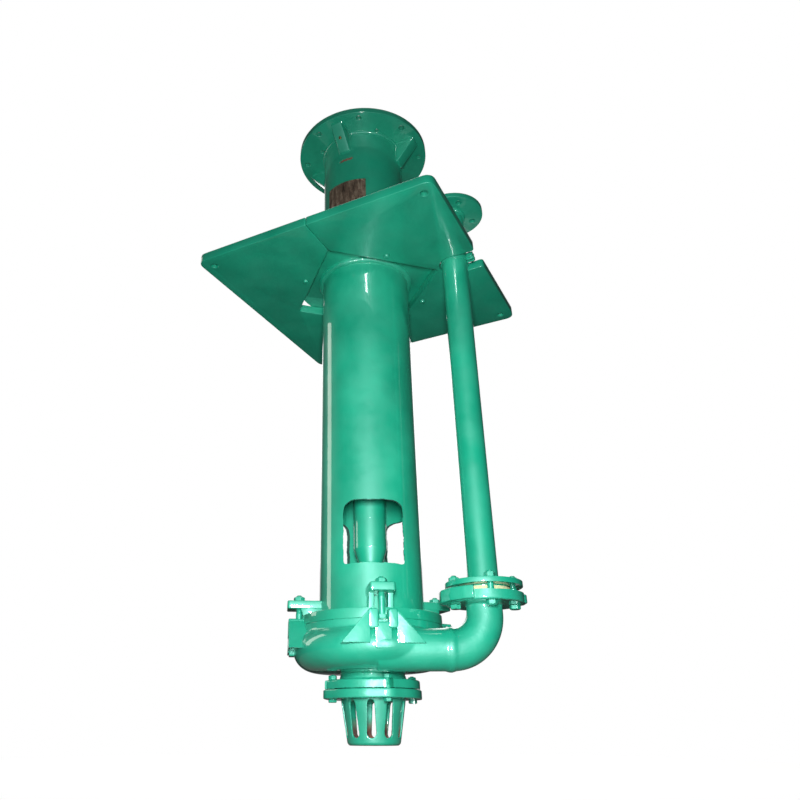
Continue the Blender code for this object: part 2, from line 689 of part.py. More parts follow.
def motor_flange():
    """Ring that the motor bolts to, with its spigot recess, on four gussets that stand against the stand's pipe."""
    under = MOTOR_FACE_HEIGHT - MOTOR_FLANGE_THICKNESS
    ledge = MOTOR_FACE_HEIGHT - SPIGOT_DEPTH
    body = add_object("motor_flange", turned([
        (COLUMN_INNER, under), (MOTOR_FLANGE_OD / 2, under), (MOTOR_FLANGE_OD / 2, MOTOR_FACE_HEIGHT),
        (SPIGOT_OD / 2, MOTOR_FACE_HEIGHT), (SPIGOT_OD / 2, ledge), (COLUMN_INNER, ledge)], FINE), GREEN_PAINT)
    gussets = bmesh.new()
    for angle in evenly(4):
        prism(gusset_side(), -GUSSET_THICKNESS / 2, GUSSET_THICKNESS / 2, gussets, standing(angle))
    weld_on(body, add_object("flange_gussets", gussets))
    low, high = DRAIN_SLOT_CENTRE, 2 * MOTOR_FACE_HEIGHT
    holes = add_pins(bmesh.new(), places_on_circle(MOTOR_BOLT_CIRCLE, evenly(MOTOR_HOLE_COUNT, pi / MOTOR_HOLE_COUNT)),
                     MOTOR_HOLE, low, high)
    add_pins(holes, places_on_circle(LIFTING_CIRCLE, evenly(4, pi / 4)), LIFTING_HOLE, low, high)
    cut(body, add_object("flange_holes", holes))
    earth_screw(body)


def gusset_side():
    """Side view of a gusset: radius and height."""
    under = MOTOR_FACE_HEIGHT - MOTOR_FLANGE_THICKNESS
    root = COLUMN_RADIUS + GAP
    sink = MOTOR_FLANGE_THICKNESS / 4
    return [(root, under - GUSSET_HEIGHT), (COLUMN_RADIUS + GUSSET_EDGE, under - GUSSET_HEIGHT),
            (GUSSET_REACH, under - GUSSET_EDGE), (GUSSET_REACH, under + sink), (root, under + sink)]


def earth_screw(flange):
    """Brass screw in the middle of the front gusset's sloping face."""
    _, low, high, _, _ = gusset_side()
    middle = Vector((0, -(low[0] + high[0]) / 2, (low[1] + high[1]) / 2))
    slope = Vector((0, low[0] - high[0], high[1] - low[1]))
    outwards = Vector((0, -slope.z, slope.y)).normalized()
    spot = Matrix.Translation(middle) @ outwards.to_track_quat("Z", "Y").to_matrix().to_4x4()
    shank = EARTH_SCREW_SHANK / 2
    hole = turned(rod(shank + GAP, -EARTH_SCREW_LENGTH - GAP, EARTH_SCREW_LENGTH), SMALL, matrix=spot)
    cut(flange, add_object("flange_earth_hole", hole))
    top = GAP + EARTH_SCREW_HEAD_HEIGHT
    screw = turned([(0, -EARTH_SCREW_LENGTH), (shank, -EARTH_SCREW_LENGTH), (shank, GAP), (EARTH_SCREW_HEAD / 2, GAP),
                    (EARTH_SCREW_HEAD / 2, top * 0.7), (EARTH_SCREW_HEAD / 3, top), (0, top)], SMALL, matrix=spot)
    add_object("earth_screw", screw, BRASS)


def nameplate():
    """Blank curved plate on the stand's pad."""
    inner = COLUMN_RADIUS + PAD_THICKNESS + GAP
    outline = sector(inner, inner + NAMEPLATE_THICKNESS, NAMEPLATE_WIDTH / 2 / COLUMN_RADIUS)
    add_object("nameplate", prism(outline, NAMEPLATE_TOP - NAMEPLATE_HEIGHT, NAMEPLATE_TOP), PLATE_METAL)


def column_bolts():
    """Four bolts that hold the stand's foot and the column's flange down on the plate, tapped through it."""
    top = STAND_FOOT_TOP + GAP
    for i, (x, y) in enumerate(places_on_circle(COLUMN_BOLT_CIRCLE, evenly(4, pi / 4))):
        hex_bolt(f"column_bolt_{i + 1}", M16, top, (x, y, top), None, tilt=pi)


def volute_section(shrink, roof):
    """Half section of the volute from pole to pole: how far out between its flat and its reach, and how high."""
    below, above = VOLUTE_BELOW - shrink, VOLUTE_ABOVE - roof
    points = []
    for i in range(SECTION_STEPS + 1):
        t = -pi / 2 + pi * i / SECTION_STEPS
        points.append((cos(t), VOLUTE_MID + sin(t) * (above if t > 0 else below)))
    return points


def volute_reach(angle):
    """Outer reach: it grows evenly round from the tongue and falls back to its start just before it."""
    turned_by = (angle - TONGUE_ANGLE) % (2 * pi)
    rising = 2 * pi - TONGUE_BLEND
    if turned_by > rising:
        share = (2 * pi - turned_by) / TONGUE_BLEND * rising / (2 * pi)
    else:
        share = turned_by / (2 * pi)
    return VOLUTE_START + VOLUTE_GROWTH * share


def volute_ring(bm, outward, height, shrink):
    """One level of the volute, outward from 0 at its flat to 1 at its reach."""
    flat = VOLUTE_FLAT - shrink
    ring = []
    for a in evenly(FINE):
        radius = flat + (volute_reach(a) - shrink - flat) * max(outward, 0)
        ring.append(bm.verts.new((radius * cos(a), radius * sin(a), height)))
    return ring


def round_ring(bm, radius, height):
    """One round level; a radius of zero is a pole."""
    if radius == 0:
        return [bm.verts.new((0, 0, height))]
    return [bm.verts.new((radius * cos(a), radius * sin(a), height)) for a in evenly(FINE)]


def volute():
    """Outside of the volute, closed at its poles."""
    bm = bmesh.new()
    section = volute_section(0, 0)
    rings = [volute_ring(bm, outward, height, 0) for outward, height in section]
    low, high = round_ring(bm, 0, section[0][1]), round_ring(bm, 0, section[-1][1])
    skin_rings(bm, [low] + rings + [high])
    return bm


def casing_cavity(pump_end):
    """Inside of the casing: suction bore, volute, opening for the impeller, recess for the liner, flat rim."""
    bm = bmesh.new()
    ledge, high = RIM_HEIGHT - LINER_THICKNESS, 2 * RIM_HEIGHT
    clear = FOOT_FLANGE_OD / 2 + 2 * GAP
    section = volute_section(VOLUTE_WALL, VOLUTE_ROOF)
    below = [(0, -2 * NECK_FACE), (SUCTION_BORE / 2, -2 * NECK_FACE), (SUCTION_BORE / 2, section[0][1])]
    above = [(VOLUTE_OPENING / 2, section[-1][1]), (VOLUTE_OPENING / 2, ledge), (RIM_RECESS_DIAMETER / 2, ledge),
             (RIM_RECESS_DIAMETER / 2, RIM_HEIGHT), (clear, RIM_HEIGHT), (clear, high), (0, high)]
    rings = [round_ring(bm, *point) for point in below]
    rings += [volute_ring(bm, outward, height, VOLUTE_WALL) for outward, height in section]
    rings += [round_ring(bm, *point) for point in above]
    skin_rings(bm, rings)
    return add_object("casing_cavity", bm, parent=pump_end)


def discharge_path(start):
    """Centre line of the discharge: tangent to the volute, then up through the elbow."""
    turn_in = REACH - ELBOW_RADIUS
    points = [(start, -OFFSET, 0), (turn_in / 2, -OFFSET, 0)]
    points += [(x, -OFFSET, z) for x, z in arc((turn_in, ELBOW_RADIUS), ELBOW_RADIUS, -pi / 2, 0, 6)]
    return points


def casing_lugs(pump_end):
    """Helpers for the lugs: a cheek block, a set-back base below it, and a triangular wing on each side."""
    cheek = box_outline(LUG_WIDTH, LUG_CHEEK_FOOT, LUG_TOP)
    base = box_outline(LUG_BASE_WIDTH, LUG_BASE_FOOT, LUG_SHOULDER)
    edge = LUG_BASE_WIDTH / 2
    foot = LUG_BASE_FOOT + WING_SINK
    wing = [(edge - 3 * WING_SINK, foot), (WING_SPAN / 2, foot), (edge, WING_TOP), (edge - 3 * WING_SINK, WING_TOP)]
    mirrored = [(-x, y) for x, y in wing]
    helpers = []
    for name, outlines, root, tip in (
            ("cheeks", [cheek], LUG_ROOT, LUG_TIP), ("bases", [base], LUG_ROOT - WING_SINK, LUG_BASE_TIP),
            ("wings", [wing, mirrored], LUG_ROOT + WING_SINK, WING_REACH)):
        bm = bmesh.new()
        for angle in CLAMP_ANGLES:
            for outline in outlines:
                prism(outline, root, tip, bm, facing(angle))
        helpers.append(add_object("casing_lug_" + name, bm, parent=pump_end))
    return helpers


def box_outline(width, low, high):
    """Rectangle centred on the Y axis."""
    return [(-width / 2, low), (width / 2, low), (width / 2, high), (-width / 2, high)]


def pump_casing(pump_end):
    """Volute with its tangential discharge elbow, suction neck, clamp lugs and flanges, cast in one."""
    body = add_object("pump_casing", volute(), CAST_GREEN, pump_end)
    weld_on(body, casing_spool(pump_end), casing_elbow(pump_end), casing_elbow_flange(pump_end),
            *casing_lugs(pump_end), casing_bosses(pump_end), casing_collar(pump_end))
    path = discharge_path(-VOLUTE_WALL) + [(REACH, -OFFSET, 2 * ELBOW_FACE)]
    passage = add_object("casing_passage", swept_tube(path, DISCHARGE_BORE / 2, BEND), parent=pump_end)
    cut(body, passage, casing_cavity(pump_end), casing_holes(pump_end), lug_recesses(pump_end))


def casing_spool(pump_end):
    """Neck with its flange below the volute, and the rim under the column's foot."""
    neck, fillet = NECK_OD / 2, WELD_LEG
    flange_top = NECK_FLANGE_THICKNESS - NECK_FACE
    rim = FOOT_FLANGE_OD / 2 - RUNNING
    spool = turned([
        (0, -NECK_FACE), (NECK_FLANGE_OD / 2, -NECK_FACE), (NECK_FLANGE_OD / 2, flange_top),
        (neck + fillet / 2, flange_top), (neck, flange_top + fillet / 2), (neck, VOLUTE_MID - VOLUTE_BELOW + fillet),
        (VOLUTE_FLAT, VOLUTE_MID), (rim, VOLUTE_MID + VOLUTE_ABOVE / 2), (rim, RIM_HEIGHT + LINER_THICKNESS / 4),
        (0, RIM_HEIGHT + LINER_THICKNESS / 4)], FINE)
    return add_object("casing_spool", spool, parent=pump_end)


def casing_elbow(pump_end):
    path = discharge_path(0) + [(REACH, -OFFSET, ELBOW_FLANGE_BACK + ELBOW_FLANGE_THICKNESS / 2)]
    return add_object("casing_elbow", swept_tube(path, DISCHARGE_OD / 2, BEND), parent=pump_end)


def casing_elbow_flange(pump_end):
    """Flange with a raised face at the elbow's end."""
    back, seat = ELBOW_FLANGE_BACK, ELBOW_FLANGE_BACK + ELBOW_FLANGE_THICKNESS
    flange = turned([
        (0, back), (ELBOW_FLANGE_OD / 2, back), (ELBOW_FLANGE_OD / 2, seat), (RAISED_FACE_OD / 2, seat),
        (RAISED_FACE_OD / 2, ELBOW_FACE), (0, ELBOW_FACE)], MEDIUM, matrix=riser_place())
    return add_object("casing_elbow_flange", flange, parent=pump_end)


def riser_place():
    """The riser's axis in the pump end's frame."""
    return Matrix.Translation((REACH, -OFFSET, 0))


def casing_bosses(pump_end):
    """Square boss under the bolt nearest the pump, and a flatter one opposite."""
    bm = bmesh.new()
    inner = RAISED_FACE_OD / 2 + RAISED_FACE
    low = ELBOW_FLANGE_BACK + RAISED_FACE / 2
    half = BOSS_WIDTH / 2
    block((-BOSS_REACH, -inner), (-half, half), (low, low + BOSS_HEIGHT), bm, riser_place())
    block((inner, LOBE_REACH), (-half * 0.8, half * 0.8), (low, low + BOSS_HEIGHT * 0.7), bm, riser_place())
    return add_object("casing_bosses", bm, parent=pump_end)


def casing_collar(pump_end):
    """Raised ring round the discharge just before the elbow."""
    across = Matrix.Translation((COLLAR_DISTANCE, -OFFSET, 0)) @ Matrix.Rotation(pi / 2, 4, "Y")
    collar = turned(rod(COLLAR_OD / 2, -COLLAR_WIDTH / 2, COLLAR_WIDTH / 2), BEND, matrix=across)
    return add_object("casing_collar", collar, parent=pump_end)


def casing_holes(pump_end):
    """Bolt holes of the elbow's flange and the open slots of the neck's flange."""
    bm = bmesh.new()
    for x, y in discharge_bolt_places():
        turned(rod(RISER_HOLE / 2, ELBOW_FLANGE_BACK - BOSS_HEIGHT / 2, 2 * ELBOW_FACE), SMALL, bm,
               Matrix.Translation((x, y, 0)) @ turn(pi / SMALL))
    slot = clearance_hole(M12) / 2
    outline = arc((SUCTION_BOLT_CIRCLE / 2, 0), slot, pi / 2, 3 * pi / 2, 6)
    outline += [(NECK_FLANGE_OD, -slot), (NECK_FLANGE_OD, slot)]
    for angle in evenly(4, SUCTION_BOLT_TURN):
        prism(outline, -2 * NECK_FACE, NECK_FLANGE_THICKNESS - NECK_FACE + GAP, bm, turn(angle))
    add_lug_slots(bm)
    return add_object("casing_holes", bm, parent=pump_end)


def add_lug_slots(bm):
    """Slots that the clamp bolts swing into, with pockets for their heads."""
    slot = LUG_SLOT / 2
    pocket = M16_CLAMP[1] / 2 / cos(pi / 6) + GAP
    pocket_floor = LUG_SHOULDER - M16_CLAMP[2] - 4 * GAP
    top = 2 * LUG_TOP
    outline = [(-pocket, pocket_floor), (pocket, pocket_floor), (pocket, LUG_SHOULDER), (slot, LUG_SHOULDER),
               (slot, top), (-slot, top), (-slot, LUG_SHOULDER), (-pocket, LUG_SHOULDER)]
    root = CLAMP_BOLT_RADIUS - M16_CLAMP[1] / 2 - GAP
    for angle in CLAMP_ANGLES:
        prism(outline, root, LUG_TIP * 1.2, bm, facing(angle))


def lug_recesses(pump_end):
    """Wide recess between the cheeks, below the bolt's head."""
    bm = bmesh.new()
    outline = box_outline(LUG_POCKET, LUG_CHEEK_FOOT - WING_SINK, LUG_SHOULDER - M16_CLAMP[2] / 2)
    for angle in CLAMP_ANGLES:
        prism(outline, LUG_BASE_TIP - WING_SINK / 4, LUG_TIP * 1.2, bm, facing(angle))
    return add_object("casing_lug_recesses", bm, parent=pump_end)


def discharge_bolt_places():
    return [(REACH + x, y - OFFSET) for x, y in places_on_circle(RISER_BOLT_CIRCLE, evenly(4))]


def clamp_bolts(pump_end):
    """Four bolts whose heads hang in the lugs and whose nuts pull the ears down."""
    grip_foot = LUG_SHOULDER - GAP
    length = EAR_TOP + GAP + M16_CLAMP[3] + BOLT_END - grip_foot
    for i, (x, y) in enumerate(places_on_circle(2 * CLAMP_BOLT_RADIUS, CLAMP_ANGLES)):
        angle = CLAMP_ANGLES[i]
        hex_bolt(f"clamp_bolt_{i + 1}", M16_CLAMP, length, (x, y, grip_foot), pump_end, angle)
        hex_nut(f"clamp_nut_{i + 1}", M16_CLAMP, (x, y, EAR_TOP + GAP), pump_end, angle)


def discharge_pipe(riser):
    """Riser with a flange at each end; its foot sits on the elbow's gasket."""
    low, seat, seat_top = (z - CENTRE_DEPTH for z in (RISER_FACE, RISER_SEAT, RISER_SEAT_TOP))
    under = RISER_TOP - RISER_FLANGE_THICKNESS
    bore, flange, top_flange = RISER_RADIUS - RISER_WALL, RISER_FLANGE_OD / 2, RISER_TOP_FLANGE_OD / 2
    weld = WELD_LEG * 0.6
    body = add_object("discharge_pipe", turned([
        (bore, low), (RAISED_FACE_OD / 2, low), (RAISED_FACE_OD / 2, seat), (flange, seat), (flange, seat_top),
        (RISER_RADIUS + weld, seat_top), (RISER_RADIUS, seat_top + weld), (RISER_RADIUS, under - weld),
        (RISER_RADIUS + weld, under), (top_flange, under), (top_flange, RISER_TOP), (bore, RISER_TOP)], MEDIUM),
        GREEN_PAINT, riser)
    foot_holes = places_on_circle(RISER_BOLT_CIRCLE, evenly(4, PUMP_TURN))
    top_holes = places_on_circle(RISER_BOLT_CIRCLE, evenly(4, RISER_TOP_TURN))
    cut(body, hole_pins("pipe_foot_holes", foot_holes, RISER_HOLE, low - RISER_HOLE, seat_top + RISER_HOLE, riser),
        hole_pins("pipe_top_holes", top_holes, RISER_HOLE, under - RISER_HOLE, RISER_TOP + RISER_HOLE, riser))


def discharge_joint(pump_end):
    """Fibre gasket, four bolts and their nuts between the elbow and the riser."""
    at_riser = (REACH, -OFFSET, ELBOW_FACE + GAP)
    gasket = add_object("discharge_gasket", turned(tube(DISCHARGE_BORE / 2, RAISED_FACE_OD / 2, 0, DISCHARGE_GASKET),
                                                   MEDIUM), FIBRE, pump_end)
    gasket.location = at_riser
    head_top = ELBOW_FLANGE_BACK - GAP
    length = RISER_SEAT_TOP + GAP + M16[3] + BOLT_END - head_top
    for i, (x, y) in enumerate(discharge_bolt_places()):
        hex_bolt(f"discharge_bolt_{i + 1}", M16, length, (x, y, head_top), pump_end)
        hex_nut(f"discharge_nut_{i + 1}", M16, (x, y, RISER_SEAT_TOP + GAP), pump_end)


def riser_clip(riser):
    """Strap round the riser in the plate's notch, pinched by a bolt at the notch's mouth."""
    low = (PLATE_THICKNESS - CLIP_HEIGHT) / 2
    high = low + CLIP_HEIGHT
    inner = RISER_RADIUS + GAP
    outer = inner + CLIP_STRAP
    strap = add_object("riser_clip", turned(tube(inner, outer, low, high), MEDIUM), GREEN_PAINT, riser)
    ears = block((inner + GAP, outer + CLIP_EAR), (-CLIP_SLIT / 2 - CLIP_STRAP, CLIP_SLIT / 2 + CLIP_STRAP), (low, high))
    slit = block((RISER_RADIUS / 2, outer + 2 * CLIP_EAR), (-CLIP_SLIT / 2, CLIP_SLIT / 2), (low - GAP, high + GAP))
    bolt_x, bolt_z = outer + CLIP_EAR / 2, (low + high) / 2
    hole = Matrix.Translation((bolt_x, 0, bolt_z)) @ Matrix.Rotation(pi / 2, 4, "X")
    hole = turned(rod(clearance_hole(M10) / 2, -CLIP_EAR, CLIP_EAR), SMALL, matrix=hole)
    weld_on(strap, add_object("clip_ears", ears, parent=riser))
    cut(strap, add_object("clip_slit", slit, parent=riser), add_object("clip_hole", hole, parent=riser))
    face = CLIP_SLIT / 2 + CLIP_STRAP + GAP
    length = 2 * face + M10[3] + BOLT_END
    hex_bolt("riser_clip_bolt", M10, length, (bolt_x, -face, bolt_z), riser, tilt=-pi / 2)
    hex_nut("riser_clip_nut", M10, (bolt_x, face, bolt_z), riser, tilt=-pi / 2)


def liners(pump_end):
    """Back liner under the column's foot, its gasket, and the throat bush in the suction neck."""
    play = GAP
    low = RIM_HEIGHT - LINER_THICKNESS + play
    high = FOOT_UNDERSIDE - GAP
    spigot = FOOT_BORE / 2 - play
    add_object("back_liner", turned([
        (LINER_BORE / 2, low), (RIM_RECESS_DIAMETER / 2 - play, low), (RIM_RECESS_DIAMETER / 2 - play, high), (spigot, high),
        (spigot, high + FOOT_FLANGE_THICKNESS / 2), (LINER_BORE / 2, high + FOOT_FLANGE_THICKNESS / 2)], FINE),
        WEAR_ALLOY, pump_end)
    rim_inner, rim_outer = RIM_RECESS_DIAMETER / 2 + play, CLAMP_BOLT_RADIUS - clearance_hole(M16) / 2 - play
    seat = RIM_HEIGHT + GAP
    add_object("casing_gasket", turned(tube(rim_inner, rim_outer, seat, seat + FLANGE_GASKET), FINE), FIBRE, pump_end)
    bush = tube(BUSH_BORE / 2, SUCTION_BORE / 2 - play, STRAINER_SEAT + GAP, BUSH_TOP)
    add_object("throat_bush", turned(bush, FINE), WEAR_ALLOY, pump_end)


def strainer(pump_end):
    """Cast basket with upright slots, bolted under the suction neck."""
    foot, back = STRAINER_BACK - STRAINER_HEIGHT, STRAINER_BACK
    top_radius, foot_radius = STRAINER_TOP_DIAMETER / 2, STRAINER_FOOT_DIAMETER / 2
    wall, edge = STRAINER_WALL, STRAINER_WALL * 0.7
    body = add_object("strainer", turned([
        (0, foot), (foot_radius - edge, foot), (foot_radius, foot + edge), (top_radius, back),
        (STRAINER_FLANGE_OD / 2, back), (STRAINER_FLANGE_OD / 2, STRAINER_SEAT), (STRAINER_MOUTH / 2, STRAINER_SEAT),
        (STRAINER_MOUTH / 2, back), (top_radius - wall, back - wall), (foot_radius - wall, foot + wall), (0, foot + wall)],
        FINE), CAST_GREEN, pump_end)
    half = STRAINER_HEIGHT / 2 - STRAINER_SLOT_MARGIN
    wide, narrow = STRAINER_SLOT_WIDTH / 2, STRAINER_SLOT_TOP_WIDTH / 2
    outline = arc((0, half - narrow), narrow, 0, pi, 2) + arc((0, wide - half), wide, pi, 2 * pi, 2)
    slots = bmesh.new()
    for angle in evenly(STRAINER_SLOTS, STRAINER_SLOT_TURN):
        prism(outline, foot_radius * 0.7, top_radius * 1.1, slots, facing(angle, (foot + back) / 2))
    bolts = places_on_circle(SUCTION_BOLT_CIRCLE, evenly(4, SUCTION_BOLT_TURN))
    drains = places_on_circle(FLOOR_HOLE_CIRCLE, evenly(FLOOR_HOLES)) + [(0, 0)]
    cut(body, add_object("strainer_slots", slots, parent=pump_end),
        hole_pins("strainer_bolt_holes", bolts, clearance_hole(M12), back - wall, STRAINER_SEAT + wall, pump_end),
        hole_pins("strainer_floor_holes", drains, FLOOR_HOLE, foot - wall, foot + 2 * wall, pump_end))
    seat = STRAINER_SEAT + GAP
    inner = SUCTION_BORE / 2 + GAP
    outer = SUCTION_BOLT_CIRCLE / 2 - clearance_hole(M12) / 2 - GAP
    add_object("suction_gasket", turned(tube(inner, outer, seat, seat + FLANGE_GASKET), FINE), FIBRE, pump_end)
    head_top = STRAINER_BACK - GAP
    nut_foot = NECK_FLANGE_THICKNESS - NECK_FACE + GAP
    length = nut_foot + M12[3] + BOLT_END / 2 - head_top
    for i, (x, y) in enumerate(bolts):
        hex_bolt(f"suction_bolt_{i + 1}", M12, length, (x, y, head_top), pump_end, SUCTION_BOLT_TURN)
        hex_nut(f"suction_nut_{i + 1}", M12, (x, y, nut_foot), pump_end, SUCTION_BOLT_TURN)


def bearing_housing():
    """Cartridge that hangs inside the column from its top flange, with its covers, seals and outer races."""
    bore, outer = BEARING_OD / 2 + GAP, HOUSING_OD / 2
    waist = HOUSING_WAIST_BORE / 2
    upper_ledge, lower_ledge = UPPER_BEARING_FOOT - GAP, LOWER_BEARING_TOP + GAP
    add_object("bearing_housing", turned([
        (bore, HOUSING_FOOT), (outer, HOUSING_FOOT), (outer, HOUSING_SEAT), (HOUSING_FLANGE_OD / 2, HOUSING_SEAT),
        (HOUSING_FLANGE_OD / 2, HOUSING_FLANGE_TOP), (outer, HOUSING_FLANGE_TOP), (outer, HOUSING_TOP), (bore, HOUSING_TOP),
        (bore, upper_ledge), (waist, upper_ledge), (waist, lower_ledge), (bore, lower_ledge)], SLIM), GREEN_PAINT)
    race_inner, race_outer = BEARING_OD / 2 - RACE_THICKNESS, BEARING_OD / 2
    for name, low, high in (("upper", UPPER_BEARING_FOOT, UPPER_BEARING_TOP), ("lower", LOWER_BEARING_FOOT, LOWER_BEARING_TOP)):
        add_object(name + "_bearing_outer", turned(tube(race_inner, race_outer, low, high), SLIM), BEARING_STEEL)
    bearing_cover("upper", 1, HOUSING_TOP, UPPER_BEARING_TOP, COVER_THICKNESS, SEAL_SEAT)
    bearing_cover("lower", -1, HOUSING_FOOT, LOWER_BEARING_FOOT, LOWER_COVER_THICKNESS, SHAFT_OD)


def bearing_cover(end, way, face, race, thickness, seat):
    """Screwed cover that presses the outer race home and carries a lip seal; way is +1 at the top, -1 at the foot."""
    recess = BEARING_OD / 2 - RACE_THICKNESS
    seal_inner = seat / 2 + RUNNING
    seal_outer = seal_inner + SEAL_SECTION
    low, high = face + way * GAP, face + way * (GAP + thickness)
    shelf = high - way * COVER_TOP
    press = race + way * GAP
    cover = add_object(end + "_bearing_cover", turned([
        (recess, press), (BEARING_OD / 2, press), (BEARING_OD / 2, low), (HOUSING_OD / 2, low), (HOUSING_OD / 2, high),
        (seal_outer + GAP, high), (seal_outer + GAP, shelf), (recess, shelf)], SLIM), GREEN_PAINT)
    heads = bmesh.new()
    for x, y in places_on_circle(COVER_SCREW_CIRCLE, evenly(COVER_SCREWS)):
        ends = sorted((high - way * M10[2] / 4, high + way * M10[2]))
        prism(hexagon(M10[1]), ends[0], ends[1], heads, Matrix.Translation((x, y, 0)))
    weld_on(cover, add_object(end + "_cover_screws", heads))
    seal_foot = high - way * SEAL_HEIGHT
    add_object(end + "_seal", turned(tube(seal_inner, seal_outer, *sorted((seal_foot, high))), SLIM), RUBBER)


def inner_race(name, rotor, bore, low, high):
    """Inner race with its rollers, which run inside the outer race."""
    inner = bore / 2 + GAP
    outer = inner + RACE_THICKNESS
    track = (BEARING_OD / 2 - RACE_THICKNESS) * cos(pi / SLIM)
    sink = outer * (1 - cos(pi / SLIM)) + GAP
    roller = (track - RUNNING - outer + sink) / 2
    body = add_object(name, turned(tube(inner, outer, low, high), SLIM), BEARING_STEEL, rotor)
    rollers = bmesh.new()
    place = Matrix.Translation((outer + roller - sink, 0, 0))
    for angle in evenly(ROLLER_COUNT):
        turned(rod(roller, low + RACE_THICKNESS / 2, high - RACE_THICKNESS / 2), ROLLER_FACETS, rollers,
               turn(angle) @ place)
    weld_on(body, add_object(name + "_rollers", rollers, parent=rotor))


def shaft(rotor):
    """Stepped shaft: coupling seat, two bearing seats, a thick lower run, a taper, the sleeve's seat and a thread."""
    coupling, seal, upper, waist = (d / 2 for d in (COUPLING_SEAT, SEAL_SEAT, UPPER_BEARING_BORE, SHAFT_WAIST))
    lower, run, slim, sleeve, thread = (d / 2 for d in (LOWER_BEARING_BORE, SHAFT_OD, SHAFT_LOWER, SLEEVE_SEAT, SHAFT_THREAD))
    below = (z - CENTRE_DEPTH for z in (TAPER_TOP, TAPER_FOOT, SLEEVE_FOOT + SLEEVE_LENGTH + GAP, IMPELLER_TOP, THREAD_FOOT))
    taper_top, taper_foot, sleeve_top, impeller_top, thread_foot = below
    shoulder = COUPLING_FOOT - GAP
    body = add_object("shaft", turned([
        (0, thread_foot), (thread, thread_foot), (thread, impeller_top + GAP / 2), (sleeve, impeller_top + GAP / 2),
        (sleeve, sleeve_top), (slim, sleeve_top), (slim, taper_foot), (run, taper_top), (run, LOWER_BEARING_FOOT - GAP),
        (lower, LOWER_BEARING_FOOT - GAP), (lower, LOWER_BEARING_TOP + GAP), (waist, LOWER_BEARING_TOP + GAP),
        (waist, UPPER_BEARING_FOOT - GAP), (upper, UPPER_BEARING_FOOT - GAP), (upper, UPPER_BEARING_TOP - RUNNING),
        (seal, UPPER_BEARING_TOP - RUNNING), (seal, shoulder), (coupling, shoulder), (coupling, SHAFT_TOP - RUNNING),
        (coupling - RUNNING, SHAFT_TOP), (0, SHAFT_TOP)], SLIM), BARE_STEEL, rotor)
    weld_on(body, add_object("shaft_key", coupling_key(), parent=rotor))


def coupling_key():
    """Key that drives the coupling, let into the shaft's top."""
    low = COUPLING_FOOT + (COUPLING_HEIGHT - KEY_LENGTH) / 2
    seat = COUPLING_SEAT / 2 - KEY_DEPTH
    return block((seat, seat + KEY_HEIGHT), (-KEY_WIDTH / 2, KEY_WIDTH / 2), (low, low + KEY_LENGTH))


def rotating_parts(rotor, rotor_foot):
    """Everything that turns with the shaft."""
    shaft(rotor)
    inner_race("upper_bearing_inner", rotor, UPPER_BEARING_BORE, UPPER_BEARING_FOOT, UPPER_BEARING_TOP)
    inner_race("lower_bearing_inner", rotor, LOWER_BEARING_BORE, LOWER_BEARING_FOOT, LOWER_BEARING_TOP)
    nut_low = UPPER_BEARING_TOP + GAP
    locknut = add_object("bearing_locknut", turned(tube(SEAL_SEAT / 2 + GAP, LOCKNUT_OD / 2, nut_low, nut_low + LOCKNUT_HEIGHT),
                                                   SLIM), BARE_STEEL, rotor)
    slots = bmesh.new()
    for angle in evenly(4):
        block((LOCKNUT_OD / 2 * 0.88, LOCKNUT_OD), (-LOCKNUT_SLOT / 2, LOCKNUT_SLOT / 2), (nut_low - GAP, HOUSING_TOP + COVER_TOP),
              slots, turn(angle))
    cut(locknut, add_object("locknut_slots", slots, parent=rotor))
    sleeve = tube(SLEEVE_SEAT / 2 + GAP, SLEEVE_OD / 2, SLEEVE_FOOT, SLEEVE_FOOT + SLEEVE_LENGTH)
    add_object("shaft_sleeve", turned(sleeve, SLIM), WEAR_ALLOY, rotor_foot)
    coupling_half(rotor)
    impeller(rotor_foot)


def coupling_half(rotor):
    """Driven half of a jaw coupling, keyed on the shaft's top under the motor."""
    bore, hub, disc = COUPLING_SEAT / 2 + GAP, COUPLING_HUB_OD / 2, COUPLING_OD / 2
    shoulder = SHAFT_TOP - COUPLING_DISC
    body = add_object("coupling_half", turned([
        (bore, COUPLING_FOOT), (hub, COUPLING_FOOT), (hub, shoulder), (disc, shoulder), (disc, SHAFT_TOP), (bore, SHAFT_TOP)],
        SLIM), BARE_STEEL, rotor)
    claws = bmesh.new()
    sink = COUPLING_DISC / 4
    for angle in evenly(COUPLING_CLAWS, pi / 4):
        claw = sector(hub, disc - sink, pi / COUPLING_CLAWS / 2)
        prism(claw, SHAFT_TOP - sink, SHAFT_TOP + CLAW_HEIGHT, claws, turn(angle))
    half = KEY_WIDTH / 2 + GAP
    keyway = block((0, COUPLING_SEAT / 2 - KEY_DEPTH + KEY_HEIGHT + GAP), (-half, half),
                   (COUPLING_FOOT - GAP, SHAFT_TOP + CLAW_HEIGHT))
    weld_on(body, add_object("coupling_claws", claws, parent=rotor))
    cut(body, add_object("coupling_keyway", keyway, parent=rotor))


def vane_outline():
    """Backward-curved vane: two logarithmic spirals, one on each side of its centre line."""
    outer = IMPELLER_DIAMETER / 2 - GAP
    steps = 4
    sides = [], []
    for i in range(steps + 1):
        radius = VANE_INNER + (outer - VANE_INNER) * i / steps
        angle = -log(radius / VANE_INNER) / tan(VANE_ANGLE)
        half = VANE_THICKNESS / 2 / sin(VANE_ANGLE) / radius
        for side, offset in zip(sides, (half, -half)):
            side.append((radius * cos(angle + offset), radius * sin(angle + offset)))
    return sides[0] + sides[1][::-1]


